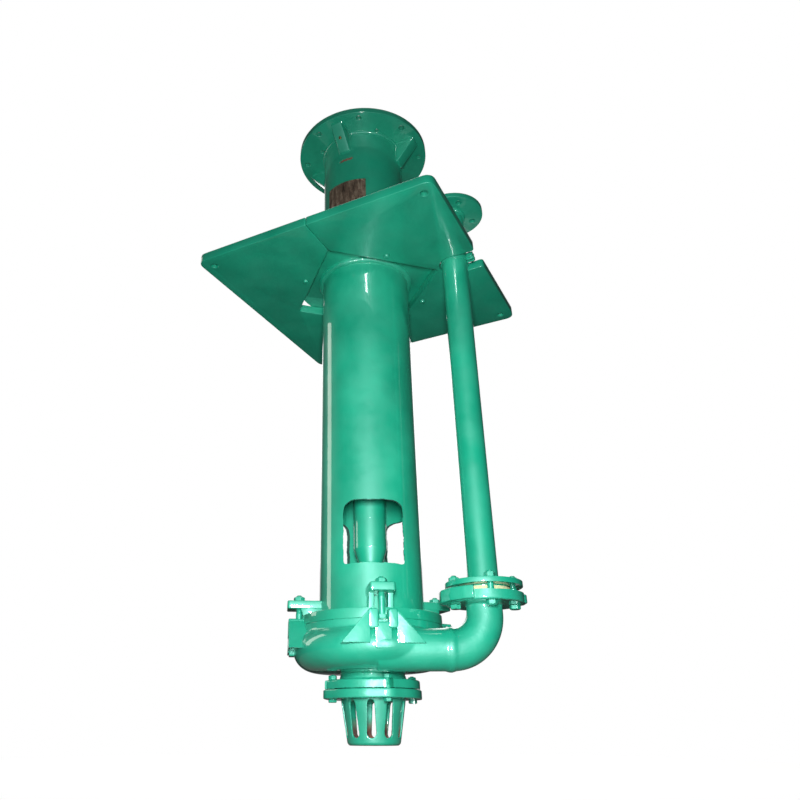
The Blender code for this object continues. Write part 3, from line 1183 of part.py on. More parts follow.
def impeller(rotor_foot):
    """Closed impeller: hub and back shroud, backward-curved vanes and a front shroud with its eye."""
    edge, hub, bore = IMPELLER_DIAMETER / 2, HUB_DIAMETER / 2, SHAFT_THREAD / 2 + GAP
    back = IMPELLER_TOP - BACK_SHROUD
    body = add_object("impeller", turned([
        (0, HUB_NOSE), (hub * 0.6, HUB_NOSE), (hub, HUB_NOSE + hub * 0.4), (hub, back - hub * 0.3), (hub * 1.3, back), (edge, back),
        (edge, IMPELLER_TOP), (bore, IMPELLER_TOP), (bore, THREAD_FOOT - GAP), (0, THREAD_FOOT - GAP)], SLIM),
        WEAR_ALLOY, rotor_foot)
    sink = FRONT_SHROUD / 4
    vanes = bmesh.new()
    for angle in evenly(VANE_COUNT):
        prism(vane_outline(), IMPELLER_BOTTOM + FRONT_SHROUD - sink, back + sink, vanes, turn(angle))
    front = turned(tube(IMPELLER_EYE / 2, edge, IMPELLER_BOTTOM, IMPELLER_BOTTOM + FRONT_SHROUD), SLIM)
    weld_on(body, add_object("impeller_vanes", vanes, parent=rotor_foot),
            add_object("impeller_front_shroud", front, parent=rotor_foot))


clear_scene()
pump_end = empty("pump_end", (0, 0, -CENTRE_DEPTH), PUMP_TURN)
riser = empty("riser", (RISER_DISTANCE, 0, 0))
rotor = empty("rotor")
rotor_foot = empty("rotor_foot", (0, 0, -CENTRE_DEPTH), parent=rotor)
mounting_plate()
column(pump_end)
motor_stand()
motor_flange()
column_bolts()
bearing_housing()
pump_casing(pump_end)
clamp_bolts(pump_end)
liners(pump_end)
strainer(pump_end)
discharge_pipe(riser)
discharge_joint(pump_end)
riser_clip(riser)
rotating_parts(rotor, rotor_foot)
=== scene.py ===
"""Looks of the vertical slurry pump: glossy teal enamel over welded plate, pipe and castings."""

import bmesh
import bpy
import numpy as np
from mathutils import Matrix


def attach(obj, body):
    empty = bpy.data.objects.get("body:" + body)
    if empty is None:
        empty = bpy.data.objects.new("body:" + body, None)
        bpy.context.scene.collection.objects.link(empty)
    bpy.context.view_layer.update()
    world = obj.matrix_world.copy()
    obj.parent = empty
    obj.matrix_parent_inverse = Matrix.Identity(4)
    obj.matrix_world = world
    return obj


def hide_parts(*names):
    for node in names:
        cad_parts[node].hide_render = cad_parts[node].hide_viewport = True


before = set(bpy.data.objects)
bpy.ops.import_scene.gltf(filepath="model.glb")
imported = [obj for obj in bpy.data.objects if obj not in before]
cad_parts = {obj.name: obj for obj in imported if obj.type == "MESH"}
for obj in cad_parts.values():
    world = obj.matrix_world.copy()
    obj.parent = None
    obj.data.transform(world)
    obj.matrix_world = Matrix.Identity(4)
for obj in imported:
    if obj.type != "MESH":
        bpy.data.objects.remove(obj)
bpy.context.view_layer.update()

# Camera: it stands low beside the strainer and looks up along the pump, as the photographer did.
camera = bpy.data.objects.new("camera", bpy.data.cameras.new("camera"))
bpy.context.scene.collection.objects.link(camera)
bpy.context.scene.camera = camera
heading, pitch = np.radians(118.17), np.radians(26.952)
ahead = np.array([np.cos(heading) * np.cos(pitch), np.sin(heading) * np.cos(pitch), np.sin(pitch)])
right = np.array([np.sin(heading), -np.cos(heading), 0.0])
camera.matrix_world = Matrix([[*row, place] for row, place in zip(
    np.column_stack([right, np.cross(right, ahead), -ahead]), (0.8351, -1.7349, -1.2838))] + [[0, 0, 0, 1]])
camera.data.sensor_width = 36
camera.data.lens = 31.83
camera.data.shift_x = 0.0752
camera.data.shift_y = -0.0305
camera.data.clip_start = 0.01

# Studio: a pale round floor below the strainer, a white backdrop beyond it and a dim room behind the camera. The
# photographer's flash above the camera makes the pump end brightest, a tall dim window at the left draws the pale
# line down the column, and two soft lamps, above and on the far side, fill the rest.
bpy.context.scene.view_settings.view_transform = "Standard"


def calculate(tree, operation, first, second):
    """Math node of two sockets or numbers."""
    made = tree.nodes.new("ShaderNodeMath")
    made.operation = operation
    for socket, value in zip(made.inputs, (first, second)):
        if isinstance(value, (int, float)):
            socket.default_value = value
        else:
            tree.links.new(value, socket)
    return made.outputs[0]


def background_rays(tree, reflected):
    """Socket that is 1 for camera and transmission rays, and as large as reflected says for glossy ones."""
    path = tree.nodes.new("ShaderNodeLightPath")
    seen = calculate(tree, "MAXIMUM", path.outputs["Is Camera Ray"], path.outputs["Is Transmission Ray"])
    return calculate(tree, "MAXIMUM", seen, calculate(tree, "MULTIPLY", path.outputs["Is Glossy Ray"], reflected))


def new_material(name, metallic=0.0, roughness=0.5):
    """Material of nodes: returns it with its tree, its Principled BSDF and the socket of Object coordinates."""
    made = bpy.data.materials.new(name)
    made.use_nodes = True
    tree = made.node_tree
    shader = tree.nodes["Principled BSDF"]
    shader.inputs["Metallic"].default_value = metallic
    shader.inputs["Roughness"].default_value = roughness
    return made, tree, shader, tree.nodes.new("ShaderNodeTexCoord").outputs["Object"]


floor_radius, floor_level, floor_sides = 1.05, -1.345, 96
floor_mesh = bpy.data.meshes.new("floor")
floor_rim = [(floor_radius * np.cos(a), floor_radius * np.sin(a), floor_level)
             for a in np.linspace(0, 2 * np.pi, floor_sides, endpoint=False)]
floor_mesh.from_pydata(floor_rim, [], [list(range(floor_sides))])
floor = bpy.data.objects.new("floor", floor_mesh)
bpy.context.scene.collection.objects.link(floor)
floor_paint, tree, shader, place = new_material("studio_floor", roughness=0.9)
shader.inputs["Base Color"].default_value = (0.14, 0.13, 0.11, 1)
shader.inputs["Emission Color"].default_value = (1, 1, 1, 1)
tree.links.new(calculate(tree, "MULTIPLY", background_rays(tree, 0.04), 0.92), shader.inputs["Emission Strength"])
floor_mesh.materials.append(floor_paint)

world = bpy.data.worlds.new("studio")
bpy.context.scene.world = world
world.use_nodes = True
tree = world.node_tree
tree.nodes.clear()
backdrop_from, backdrop_to = 0.86, 0.98      # cosines of the angle to the backdrop's middle
backdrop_light, room_light = 0.15, 0.022
beyond = tree.nodes.new("ShaderNodeVectorMath")
beyond.operation = "DOT_PRODUCT"
beyond.inputs[1].default_value = (-0.42, 0.79, 0.45)
tree.links.new(tree.nodes.new("ShaderNodeTexCoord").outputs["Generated"], beyond.inputs[0])
backdrop = tree.nodes.new("ShaderNodeMapRange")
backdrop.interpolation_type = "SMOOTHSTEP"
backdrop.inputs["From Min"].default_value = backdrop_from
backdrop.inputs["From Max"].default_value = backdrop_to
tree.links.new(beyond.outputs["Value"], backdrop.inputs["Value"])
level = calculate(tree, "ADD", calculate(tree, "MULTIPLY", backdrop.outputs["Result"], backdrop_light), room_light)
room = tree.nodes.new("ShaderNodeBackground")
room.inputs["Color"].default_value = (0.93, 0.98, 1.0, 1)
tree.links.new(level, room.inputs["Strength"])
white = tree.nodes.new("ShaderNodeBackground")
white.inputs["Color"].default_value = (1, 1, 1, 1)
white.inputs["Strength"].default_value = 1.0
either = tree.nodes.new("ShaderNodeMixShader")
tree.links.new(background_rays(tree, backdrop.outputs["Result"]), either.inputs["Fac"])
tree.links.new(room.outputs[0], either.inputs[1])
tree.links.new(white.outputs[0], either.inputs[2])
tree.links.new(either.outputs[0], tree.nodes.new("ShaderNodeOutputWorld").inputs["Surface"])


def lamp(name, place, target, width, height, level, colour=(1, 1, 1), spread=180):
    """Rectangular soft lamp at place, turned to shine at target, where a white wall that faces it would have the
    level: the power is the level times pi squared times the distance squared. Less spread narrows its cone."""
    data = bpy.data.lights.new(name, "AREA")
    away = np.array(place, float) - np.array(target, float)
    distance = np.linalg.norm(away)
    data.shape = "RECTANGLE"
    data.size, data.size_y, data.color = width, height, colour
    data.energy = level * (np.pi * distance) ** 2
    data.spread = np.radians(spread)
    made = bpy.data.objects.new(name, data)
    bpy.context.scene.collection.objects.link(made)
    made.location = place
    back = away / distance
    side = np.cross([0, 0, 1], back)
    side /= np.linalg.norm(side)
    made.rotation_mode = "QUATERNION"
    made.rotation_quaternion = Matrix(np.column_stack([side, np.cross(back, side), back]).tolist()).to_quaternion()


lamp("flash", (0.8351, -1.7349, -1.07), (0, 0, -0.80), 0.17, 0.44, 0.74, spread=120)
lamp("overhead", (-0.2, 0.4, 3.0), (0, 0, 0), 2.2, 2.2, 0.40)
lamp("left_window", (-2.57, -0.41, 0.45), (0, 0, -0.4), 0.70, 2.1, 0.15, (1.0, 0.97, 0.88))
lamp("far_side", (-1.3, 2.6, 1.0), (0, 0, -0.4), 2.4, 2.4, 0.22)

# Mounting plate: two halves of 28 mm plate, flame cut, meeting in a seam on the Y axis and closing round the column.
# The right half has a notch for the riser. Sprayed with gloss enamel, as nearly everything on the pump is.


def soften(corners, setback, steps=5, closed=True):
    """Rounds a polyline: each corner becomes the parabola from a point one setback before it to one after it."""
    p = np.asarray(corners, float)
    before, after = np.roll(p, 1, axis=0) - p, np.roll(p, -1, axis=0) - p
    reach = np.broadcast_to(np.asarray(setback, float), (len(p),))
    long_before, long_after = np.linalg.norm(before, axis=1), np.linalg.norm(after, axis=1)
    s = np.minimum(reach, 0.45 * np.minimum(long_before, long_after))
    if not closed:
        s[[0, -1]] = 0
    start = p + before / long_before[:, None] * s[:, None]
    end = p + after / long_after[:, None] * s[:, None]
    t = np.linspace(0, 1, steps)[None, :, None]
    rounded = (1 - t) ** 2 * start[:, None] + 2 * t * (1 - t) * p[:, None] + t ** 2 * end[:, None]
    flat = rounded.reshape(-1, p.shape[1])
    keep = np.r_[True, np.linalg.norm(np.diff(flat, axis=0), axis=1) > 1e-7]
    if closed and np.linalg.norm(flat[0] - flat[-1]) < 1e-7:
        keep[-1] = False
    return flat[keep]


def arc_points(centre, radius, start, end, count):
    """Points of an arc about centre, from the angle start to the angle end, in degrees."""
    a = np.radians(np.linspace(start, end, count))
    return np.column_stack([centre[0] + radius * np.cos(a), centre[1] + radius * np.sin(a)])


def add_piece(name, points, faces, merge=True):
    """Object at the origin with its place in its mesh; doubled points are merged and its faces turned outwards."""
    mesh = bpy.data.meshes.new(name)
    mesh.from_pydata(np.asarray(points, float).tolist(), [], [list(map(int, f)) for f in faces])
    bm = bmesh.new()
    bm.from_mesh(mesh)
    if merge:
        bmesh.ops.remove_doubles(bm, verts=bm.verts, dist=1e-6)
    bmesh.ops.recalc_face_normals(bm, faces=bm.faces)
    bm.to_mesh(mesh)
    bm.free()
    made = bpy.data.objects.new(name, mesh)
    bpy.context.scene.collection.objects.link(made)
    return made


def grid_faces(rows, columns, wrap_rows=False, wrap_columns=True, start=0):
    """Four-sided faces between neighbouring points of a grid, numbered row by row."""
    i = np.arange(rows if wrap_rows else rows - 1)[:, None]
    j = np.arange(columns if wrap_columns else columns - 1)[None, :]
    k, m = (i + 1) % rows, (j + 1) % columns
    corners = [i * columns + j, i * columns + m, k * columns + m, k * columns + j]
    return np.stack(np.broadcast_arrays(*corners), axis=-1).reshape(-1, 4) + start


def slab(outline, low, high, edge=0.0015):
    """Plate between two levels: the outline is repeated at each level of its rounded edges, drawn in there along
    its normals by edge times one minus the cosine, and the two last loops are the flat faces."""
    p = np.asarray(outline, float)
    if np.sum(p[:, 0] * np.roll(p[:, 1], -1) - np.roll(p[:, 0], -1) * p[:, 1]) < 0:
        p = p[::-1]
    along = np.roll(p, -1, axis=0) - np.roll(p, 1, axis=0)
    inward = np.column_stack([-along[:, 1], along[:, 0]]) / np.linalg.norm(along, axis=1)[:, None]
    t = np.linspace(0, np.pi / 2, 4)
    inset = np.r_[edge * (1 - np.sin(t)), (edge * (1 - np.sin(t)))[::-1]]
    height = np.r_[low + edge * (1 - np.cos(t)), (high - edge * (1 - np.cos(t)))[::-1]]
    loops = p[None] + inward[None] * inset[:, None, None]
    points = np.concatenate([loops, np.broadcast_to(height[:, None, None], (*loops.shape[:2], 1))], axis=2)
    count = len(p)
    faces = grid_faces(len(inset), count).tolist()
    faces.append(np.arange(count)[::-1].tolist())
    faces.append((np.arange(count) + (len(inset) - 1) * count).tolist())
    return points.reshape(-1, 3), faces


def slab_piece(name, outline, low, high, edge=0.0015, place=None):
    """Plate between two levels as a piece of its own, its points moved by place."""
    points, faces = slab(outline, low, high, edge)
    return add_piece(name, points if place is None else place(points), faces, merge=False)


def shade(obj, angle=38):
    """Smooth shading, with the edges sharper than the angle kept crisp."""
    obj.data.shade_smooth()
    obj.data.set_sharp_from_angle(angle=np.radians(angle))
    return obj


def settle(obj):
    """Applies the object's modifiers to its mesh."""
    made = bpy.data.meshes.new_from_object(obj.evaluated_get(bpy.context.evaluated_depsgraph_get()))
    obj.modifiers.clear()
    obj.data = made
    return obj


def carve(obj, *tools):
    """Cuts each tool out of the object and removes the tool."""
    for tool in tools:
        step = obj.modifiers.new("carve", "BOOLEAN")
        step.operation = "DIFFERENCE"
        step.solver = "EXACT"
        step.object = tool
    settle(obj)
    for tool in tools:
        bpy.data.objects.remove(tool)
    return obj


def join(name, *objects):
    """One object with the meshes of several."""
    bm = bmesh.new()
    for obj in objects:
        bm.from_mesh(obj.data)
    mesh = bpy.data.meshes.new(name)
    bm.to_mesh(mesh)
    bm.free()
    for obj in objects:
        bpy.data.objects.remove(obj)
    made = bpy.data.objects.new(name, mesh)
    bpy.context.scene.collection.objects.link(made)
    return made


def drill(places, diameter, low, high, mouth=0.0007, steps=40):
    """Cutter with an upright pin at each place, a little wider at the levels low and high, where it leaves."""
    r, past = diameter / 2, 0.004
    profile = np.array([(0, low - past), (r + mouth, low - past), (r + mouth, low), (r, low + mouth),
                        (r, high - mouth), (r + mouth, high), (r + mouth, high + past), (0, high + past)])
    a = np.linspace(0, 2 * np.pi, steps, endpoint=False)
    heights = np.broadcast_to(profile[:, 1:], (8, steps))
    pin = np.stack([profile[:, :1] * np.cos(a), profile[:, :1] * np.sin(a), heights], -1)
    spots = np.column_stack([np.asarray(places, float), np.zeros(len(places))])
    points = (pin.reshape(1, -1, 3) + spots[:, None]).reshape(-1, 3)
    faces = np.concatenate([grid_faces(8, steps, start=8 * steps * k) for k in range(len(spots))])
    return add_piece("drill", points, faces)


def on_circle(diameter, degrees):
    """Places round a circle."""
    a = np.radians(np.asarray(degrees, float))
    return np.column_stack([np.cos(a), np.sin(a)]) * diameter / 2


def noise(tree, place, scale, detail=3.0, rough=0.55):
    """Noise texture at a socket of places."""
    node = tree.nodes.new("ShaderNodeTexNoise")
    for name, value in (("Scale", scale), ("Detail", detail), ("Roughness", rough)):
        node.inputs[name].default_value = value
    tree.links.new(place, node.inputs["Vector"])
    return node.outputs["Fac"]


def ramp(tree, value, low, high, first, last):
    """Socket that runs straight from first, where the value is low, to last, where it is high."""
    node = tree.nodes.new("ShaderNodeMapRange")
    for name, number in (("From Min", low), ("From Max", high), ("To Min", first), ("To Max", last)):
        node.inputs[name].default_value = number
    tree.links.new(value, node.inputs["Value"])
    return node.outputs["Result"]


def blend(tree, factor, first, last):
    """Mix of two colours or colour sockets."""
    node = tree.nodes.new("ShaderNodeMix")
    node.data_type = "RGBA"
    tree.links.new(factor, node.inputs["Factor"])
    for socket, value in ((node.inputs["A"], first), (node.inputs["B"], last)):
        if isinstance(value, tuple):
            socket.default_value = (*value, 1)
        else:
            tree.links.new(value, socket)
    return node.outputs["Result"]


def stretched(tree, place, scales):
    """Socket of places with each coordinate multiplied."""
    node = tree.nodes.new("ShaderNodeMapping")
    node.inputs["Scale"].default_value = scales
    tree.links.new(place, node.inputs["Vector"])
    return node.outputs["Vector"]


def bump(tree, height, depth, strength, normal=None):
    """Normals tilted by a socket of heights, on top of other normals where they are given."""
    node = tree.nodes.new("ShaderNodeBump")
    node.inputs["Strength"].default_value = strength
    node.inputs["Distance"].default_value = depth
    tree.links.new(height, node.inputs["Height"])
    if normal:
        tree.links.new(normal, node.inputs["Normal"])
    return node.outputs["Normal"]


def enamel(name, colour, texture=1.0, dust=0.01, roughness=0.45, bare_and_shade_within=0.0, widening=0.0, level=0.0,
           bare_and_shade_beyond=0.0, primer_below=0.0, bare_and_shade_tones=((0.085, 0.022, 0.012), (0.290, 0.085, 0.035))):
    """Sprayed gloss enamel. Its colour drifts a little between two close shades and is dulled by thin dust; a fine
    noise is the orange peel, a broad one the unevenness of the plate or casting below, and small nibs stand in it.
    Nearer the pump's axis than a radius, which may widen with height above a level, it takes a second pair of
    tones: primer and rust where the enamel is missing, and on the column's cut faces a dark green that is partly a
    burnt edge and partly painted shade; a smaller radius and a height may bound that too."""
    made, tree, shader, place = new_material(name)
    darker, lighter = tuple(c * 0.86 for c in colour), tuple(min(1.0, c * 1.12) for c in colour)
    shades = blend(tree, ramp(tree, noise(tree, place, 5.0), 0.35, 0.65, 0, 1), darker, lighter)
    grime = ramp(tree, noise(tree, place, 23.0, 6.0, 0.68), 0.56, 0.74, 0, dust)
    paint = blend(tree, grime, shades, (0.20, 0.30, 0.22))
    gloss = ramp(tree, noise(tree, place, 11.0, 4.0), 0.3, 0.7, roughness * 0.8, roughness * 1.45)
    if bare_and_shade_within:
        inside, outside, fade = 0.0010, 0.0004, 0.015
        length = tree.nodes.new("ShaderNodeVectorMath")
        length.operation = "LENGTH"
        tree.links.new(stretched(tree, place, (1, 1, 0)), length.inputs[0])
        apart = tree.nodes.new("ShaderNodeSeparateXYZ")
        tree.links.new(place, apart.inputs[0])
        radius, height = length.outputs["Value"], apart.outputs["Z"]
        cone = calculate(tree, "SUBTRACT", radius, calculate(tree, "MULTIPLY", height, widening))
        edge_at = bare_and_shade_within - widening * level
        bare = ramp(tree, cone, edge_at - inside, edge_at + outside, 1, 0)
        if bare_and_shade_beyond:
            beyond = ramp(tree, radius, bare_and_shade_beyond, bare_and_shade_beyond + outside, 0, 1)
            bare = calculate(tree, "MULTIPLY", bare, beyond)
        if primer_below:
            below = ramp(tree, height, primer_below - fade, primer_below + fade, 1, 0)
            bare = calculate(tree, "MULTIPLY", bare, below)
        # The second pair of tones: primer and rust where the enamel is missing, and on the column's cut faces a dark
        # green that is partly a burnt edge and partly painted shade.
        bare_and_shade_colour = blend(tree, ramp(tree, noise(tree, place, 60.0, 6.0, 0.7), 0.38, 0.62, 0, 1), *bare_and_shade_tones)
        paint = blend(tree, bare, paint, bare_and_shade_colour)
        gloss = calculate(tree, "ADD", calculate(tree, "MULTIPLY", bare, 0.6), gloss)
    tree.links.new(paint, shader.inputs["Base Color"])
    tree.links.new(gloss, shader.inputs["Roughness"])
    shader.inputs["IOR"].default_value = 2.0
    shader.inputs["Specular Tint"].default_value = (0.62, 1.0, 1.0, 1)
    shader.inputs["Coat Weight"].default_value = 1.0
    shader.inputs["Coat IOR"].default_value = 1.8
    shader.inputs["Coat Roughness"].default_value = 0.040
    orange_peel = (190.0, 2.0, 0.00004 * texture)
    unevenness = (28.0, 2.0, 0.00014 * texture ** 2)
    nibs = (95.0, 3.0, 0.00004 * texture ** 2)
    normal = None
    for scale, detail, depth in (orange_peel, unevenness, nibs):
        normal = bump(tree, noise(tree, place, scale, detail), depth, 0.9, normal)
    tree.links.new(normal, shader.inputs["Normal"])
    return made


def finish_piece(obj, body, material, slot, *nodes, angle=38):
    """Gives a piece its shading and material, sets it on its body and lets it stand for its nodes; slot is not used.
    """
    shade(obj, angle)
    obj.data.materials.clear()
    obj.data.materials.append(material)
    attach(obj, body)
    if nodes:
        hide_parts(*nodes)
    return obj


plate_green = (0.004, 0.335, 0.195)
enamel_on_plate = enamel("enamel_on_plate", plate_green)


def painted(obj, *nodes, paint=enamel_on_plate, slot="green_paint", angle=38):
    """Finishes a green piece of the part that stands still."""
    return finish_piece(obj, "pump", paint, slot, *nodes, angle=angle)


half, plate_thickness, diamond, seam = 0.765 / 2, 0.028, 0.250, 0.001
notch, notch_mouth, riser_x = 0.043, 0.010, 0.3055
at_corner, at_edge, at_tip, at_seam = 0.030, 0.004, 0.008, 0.006
left_outline = soften(
    [(-seam, -half), (-seam, seam - diamond), (-diamond, 0), (-seam, diamond - seam), (-seam, half), (-half, half),
     (-half, -half)], [at_edge, at_seam, at_tip, at_seam, at_edge, at_corner, at_corner], 9)
right_outline = np.concatenate([
    soften([(seam, diamond - seam), (diamond, 0), (seam, seam - diamond), (seam, -half), (half, -half),
            (half, -notch)], [at_seam, at_tip, at_seam, at_edge, at_corner, notch_mouth], 9, closed=False)[:-1],
    arc_points((half - notch_mouth, -notch - notch_mouth), notch_mouth, 0, 90, 7),
    arc_points((riser_x, 0), notch + 0.004, 270, 90, 33),
    arc_points((half - notch_mouth, notch + notch_mouth), notch_mouth, 270, 360, 7),
    soften([(half, notch + 0.02), (half, half), (seam, half), (seam, half - 0.02)], [0, at_corner, at_edge, 0], 9,
           closed=False)])
plate_hole, plate_hole_at, flange_circle, m16_hole = 0.022, 0.345, 0.400, 0.0184
for name, side, outline, threads in (("mounting_plate_left", -1, left_outline, (135, 225)),
                                     ("mounting_plate_right", 1, right_outline, (45, 315))):
    plate = slab_piece(name + "_enamelled", outline, 0, plate_thickness, 0.0018)
    corner_holes = [(side * plate_hole_at, -plate_hole_at), (side * plate_hole_at, plate_hole_at)]
    carve(plate, drill(corner_holes, plate_hole, 0, plate_thickness),
          drill(on_circle(flange_circle, threads), m16_hole, 0, plate_thickness))
    painted(plate, name)

# Column: a length of 273 mm pipe with a flange welded on at each end, three torch-cut windows above the foot, and
# four ears on the foot flange that the clamp bolts pull down. The welds were left as laid and painted over, and the
# windows' cut faces are dark green: partly a torch-burnt edge, partly painted shade.
pump_level = -1.104


def pump_end(points):
    """From the pump end's frame to the part's: turned 30 degrees about Z and lowered to the discharge's level."""
    p = np.asarray(points, float)
    c, s = np.cos(np.pi / 6), np.sin(np.pi / 6)
    turned = [c * p[..., 0] - s * p[..., 1], s * p[..., 0] + c * p[..., 1], p[..., 2] + pump_level]
    return np.stack(turned, axis=-1)


def revolve(name, profile, steps=144, place=None, setback=0.0012):
    """Surface of revolution: at angle a a profile point (r, z) goes to (r cos a, r sin a, z)."""
    p = soften(profile, setback, 4) if setback else np.asarray(profile, float)
    a = np.linspace(0, 2 * np.pi, steps, endpoint=False)
    grid = np.stack([p[:, :1] * np.cos(a), p[:, :1] * np.sin(a), np.broadcast_to(p[:, 1:], (len(p), steps))], -1)
    closed = p[:, 0].min() > 1e-9
    points = grid.reshape(-1, 3)
    return add_piece(name, points if place is None else place(points), grid_faces(len(p), steps, wrap_rows=closed))


def weld_bead(name, path, size, pitch=0.0052, closed=True):
    """Fillet weld: a tube along the path whose radius swells and shrinks with each ripple, one pitch long; the
    ripples lean, so that the swelling runs ahead on one side, and two slow sines make the hand's unevenness."""
    p = np.asarray(path, float)
    ahead_of = np.roll(p, -1, axis=0) - np.roll(p, 1, axis=0)
    if not closed:
        ahead_of[0], ahead_of[-1] = p[1] - p[0], p[-1] - p[-2]
    ahead_of /= np.linalg.norm(ahead_of, axis=1)[:, None]
    first = np.cross(ahead_of, np.where(np.abs(ahead_of[:, 2:]) > 0.9, (1.0, 0, 0), (0, 0, 1.0)))
    first /= np.linalg.norm(first, axis=1)[:, None]
    second = np.cross(ahead_of, first)
    s = np.r_[0, np.cumsum(np.linalg.norm(np.diff(p, axis=0), axis=1))][:, None]
    t = np.linspace(0, 2 * np.pi, 12, endpoint=False)[None, :]
    ripple, hand = np.abs(np.sin(np.pi * s / pitch + 0.6 * np.cos(t))), np.sin(41 * s) * np.sin(67 * s + 1)
    swell = size * (1 + 0.11 * ripple + 0.07 * hand)
    if not closed:
        swell[[0, -1]] *= 0.02
    outward = np.cos(t)[..., None] * first[:, None] + np.sin(t)[..., None] * second[:, None]
    points = (p[:, None] + swell[..., None] * outward).reshape(-1, 3)
    faces = grid_faces(len(p), 12, wrap_rows=closed).tolist()
    if not closed:
        faces += [list(range(12)), list(range(12 * len(p) - 12, 12 * len(p)))]
    return add_piece(name, points, faces)


def ring_path(radius, height, steps=720, centre=(0, 0)):
    """Points of a level circle."""
    a = np.linspace(0, 2 * np.pi, steps, endpoint=False)
    return np.column_stack([centre[0] + radius * np.cos(a), centre[1] + radius * np.sin(a), np.full(steps, height)])


def turned_out(points, degrees):
    """Turns points about the pump's axis."""
    c, s = np.cos(np.radians(degrees)), np.sin(np.radians(degrees))
    p = np.asarray(points, float)
    return np.stack([c * p[..., 0] - s * p[..., 1], s * p[..., 0] + c * p[..., 1], p[..., 2]], axis=-1)


def facing(points, degrees):
    """Stands a slab up so that its X runs sideways, its Y up and its Z outwards at the angle."""
    p = np.asarray(points, float)
    return turned_out(np.stack([p[..., 2], p[..., 0], p[..., 1]], axis=-1), degrees)


def standing(points, degrees):
    """Stands a slab up so that its X runs outwards at the angle, its Y up and its Z sideways."""
    p = np.asarray(points, float)
    return turned_out(np.stack([p[..., 0], -p[..., 2], p[..., 1]], axis=-1), degrees)


def rough_cut(width, height, corner, waver, seed):
    """Outline of a torch-cut hole: a rounded rectangle whose edge wavers by a few sines of different pitch."""
    x, y = width / 2, height / 2
    p = soften([(x, -y), (x, y), (-x, y), (-x, -y)], np.multiply(corner, 1.25), 9)
    q = np.concatenate([p, p[:1]])
    travelled = np.r_[0, np.cumsum(np.linalg.norm(np.diff(q, axis=0), axis=1))]
    s = np.linspace(0, travelled[-1], 260, endpoint=False)
    dense = np.column_stack([np.interp(s, travelled, q[:, 0]), np.interp(s, travelled, q[:, 1])])
    outward = dense / np.linalg.norm(dense, axis=1)[:, None]
    turns = 2 * np.pi * s / travelled[-1]
    wave = np.sin(9 * turns + seed) + 0.7 * np.sin(23 * turns + 2 * seed) + 0.4 * np.sin(61 * turns + 3 * seed)
    return dense + outward * (waver * wave)[:, None]


pipe, wall, flange_low, flange_high = 0.1365, 0.1285, 0.0283, 0.0503
flange_radius, flange_bore = 0.225, 0.0953
foot_low, foot_high, foot_radius, foot_bore = pump_level + 0.0676, pump_level + 0.0916, 0.181, 0.0985
column = revolve("column_enamelled", [
    (foot_bore, foot_low), (foot_radius, foot_low), (foot_radius, foot_high), (pipe, foot_high), (pipe, flange_low),
    (flange_radius, flange_low), (flange_radius, flange_high), (flange_bore, flange_high), (flange_bore, flange_low),
    (wall, flange_low), (wall, foot_high), (foot_bore, foot_high)], 216)
window_middle, sharp = 0.2876, 0.0001
window = rough_cut(0.155, 0.164, (0.007, 0.021, 0.024, 0.006), 0.0006, 1.0) + [0, window_middle]
windows = [slab_piece("window", window, 0.06, 0.25, sharp, lambda p: pump_end(facing(p, angle)))
           for angle in (-90, 30, 150)]
quarters = 90 * np.arange(4)
diagonals = 45 + quarters
clamp_circle, clamp_degrees, clamp_lifts = 0.378, (-87, 20, 101, 183), np.array([0.007, 0, 0, -0.008])
clamp_spots = pump_end(np.column_stack([on_circle(clamp_circle, clamp_degrees), np.zeros(4)]))[:, :2]
carve(column, *windows, drill(clamp_spots, m16_hole, foot_low, foot_high),
      drill(on_circle(flange_circle, diagonals), m16_hole, flange_low, flange_high))
# The windows' cut faces, between the pipe's outer and inner radius, get a dark green: partly a torch-burnt edge,
# partly painted shade.
enamel_on_column = enamel("enamel_on_column", plate_green, bare_and_shade_within=pipe - 0.0004, bare_and_shade_beyond=wall + 0.0003,
                          bare_and_shade_tones=((0.004, 0.010, 0.007), (0.012, 0.060, 0.040)))
painted(column, "column", paint=enamel_on_column)
ear_root, ear_half, ear_low, ear_high = 0.132, 0.031, 0.1166, 0.1366
ear_plan = soften([(ear_root, -ear_half), (0.220, -ear_half), (0.220, ear_half), (ear_root, ear_half)],
                  [0, 0.007, 0.007, 0], 7)
ears = []
for angle, lift in zip(clamp_degrees, clamp_lifts):
    ear = slab_piece("ear", ear_plan, ear_low + lift, ear_high + lift, 0.0025,
                     lambda p: pump_end(turned_out(p, angle)))
    spot = pump_end(np.append(on_circle(clamp_circle, [angle])[0], 0))[:2]
    ears.append(carve(ear, drill([spot], m16_hole, lift + pump_level + ear_low, lift + pump_level + ear_high)))
    leg_side = [(ear_root, 0.0896), (0.179, 0.0896), (0.1855, 0.1186 + lift), (ear_root, 0.1186 + lift)]
    for low, high in ((-0.030, -0.017), (0.017, 0.030)):
        ears.append(slab_piece("leg", leg_side, low, high, 0.0015, lambda p: pump_end(standing(p, angle))))
painted(join("column_ears", *ears))
for name, radius, height, size in (("column_weld_top", pipe + 0.003, flange_low - 0.003, 0.0100),
                                   ("column_weld_foot", pipe + 0.0005, foot_high + 0.0005, 0.004)):
    painted(weld_bead(name, ring_path(radius, height), size), angle=80)

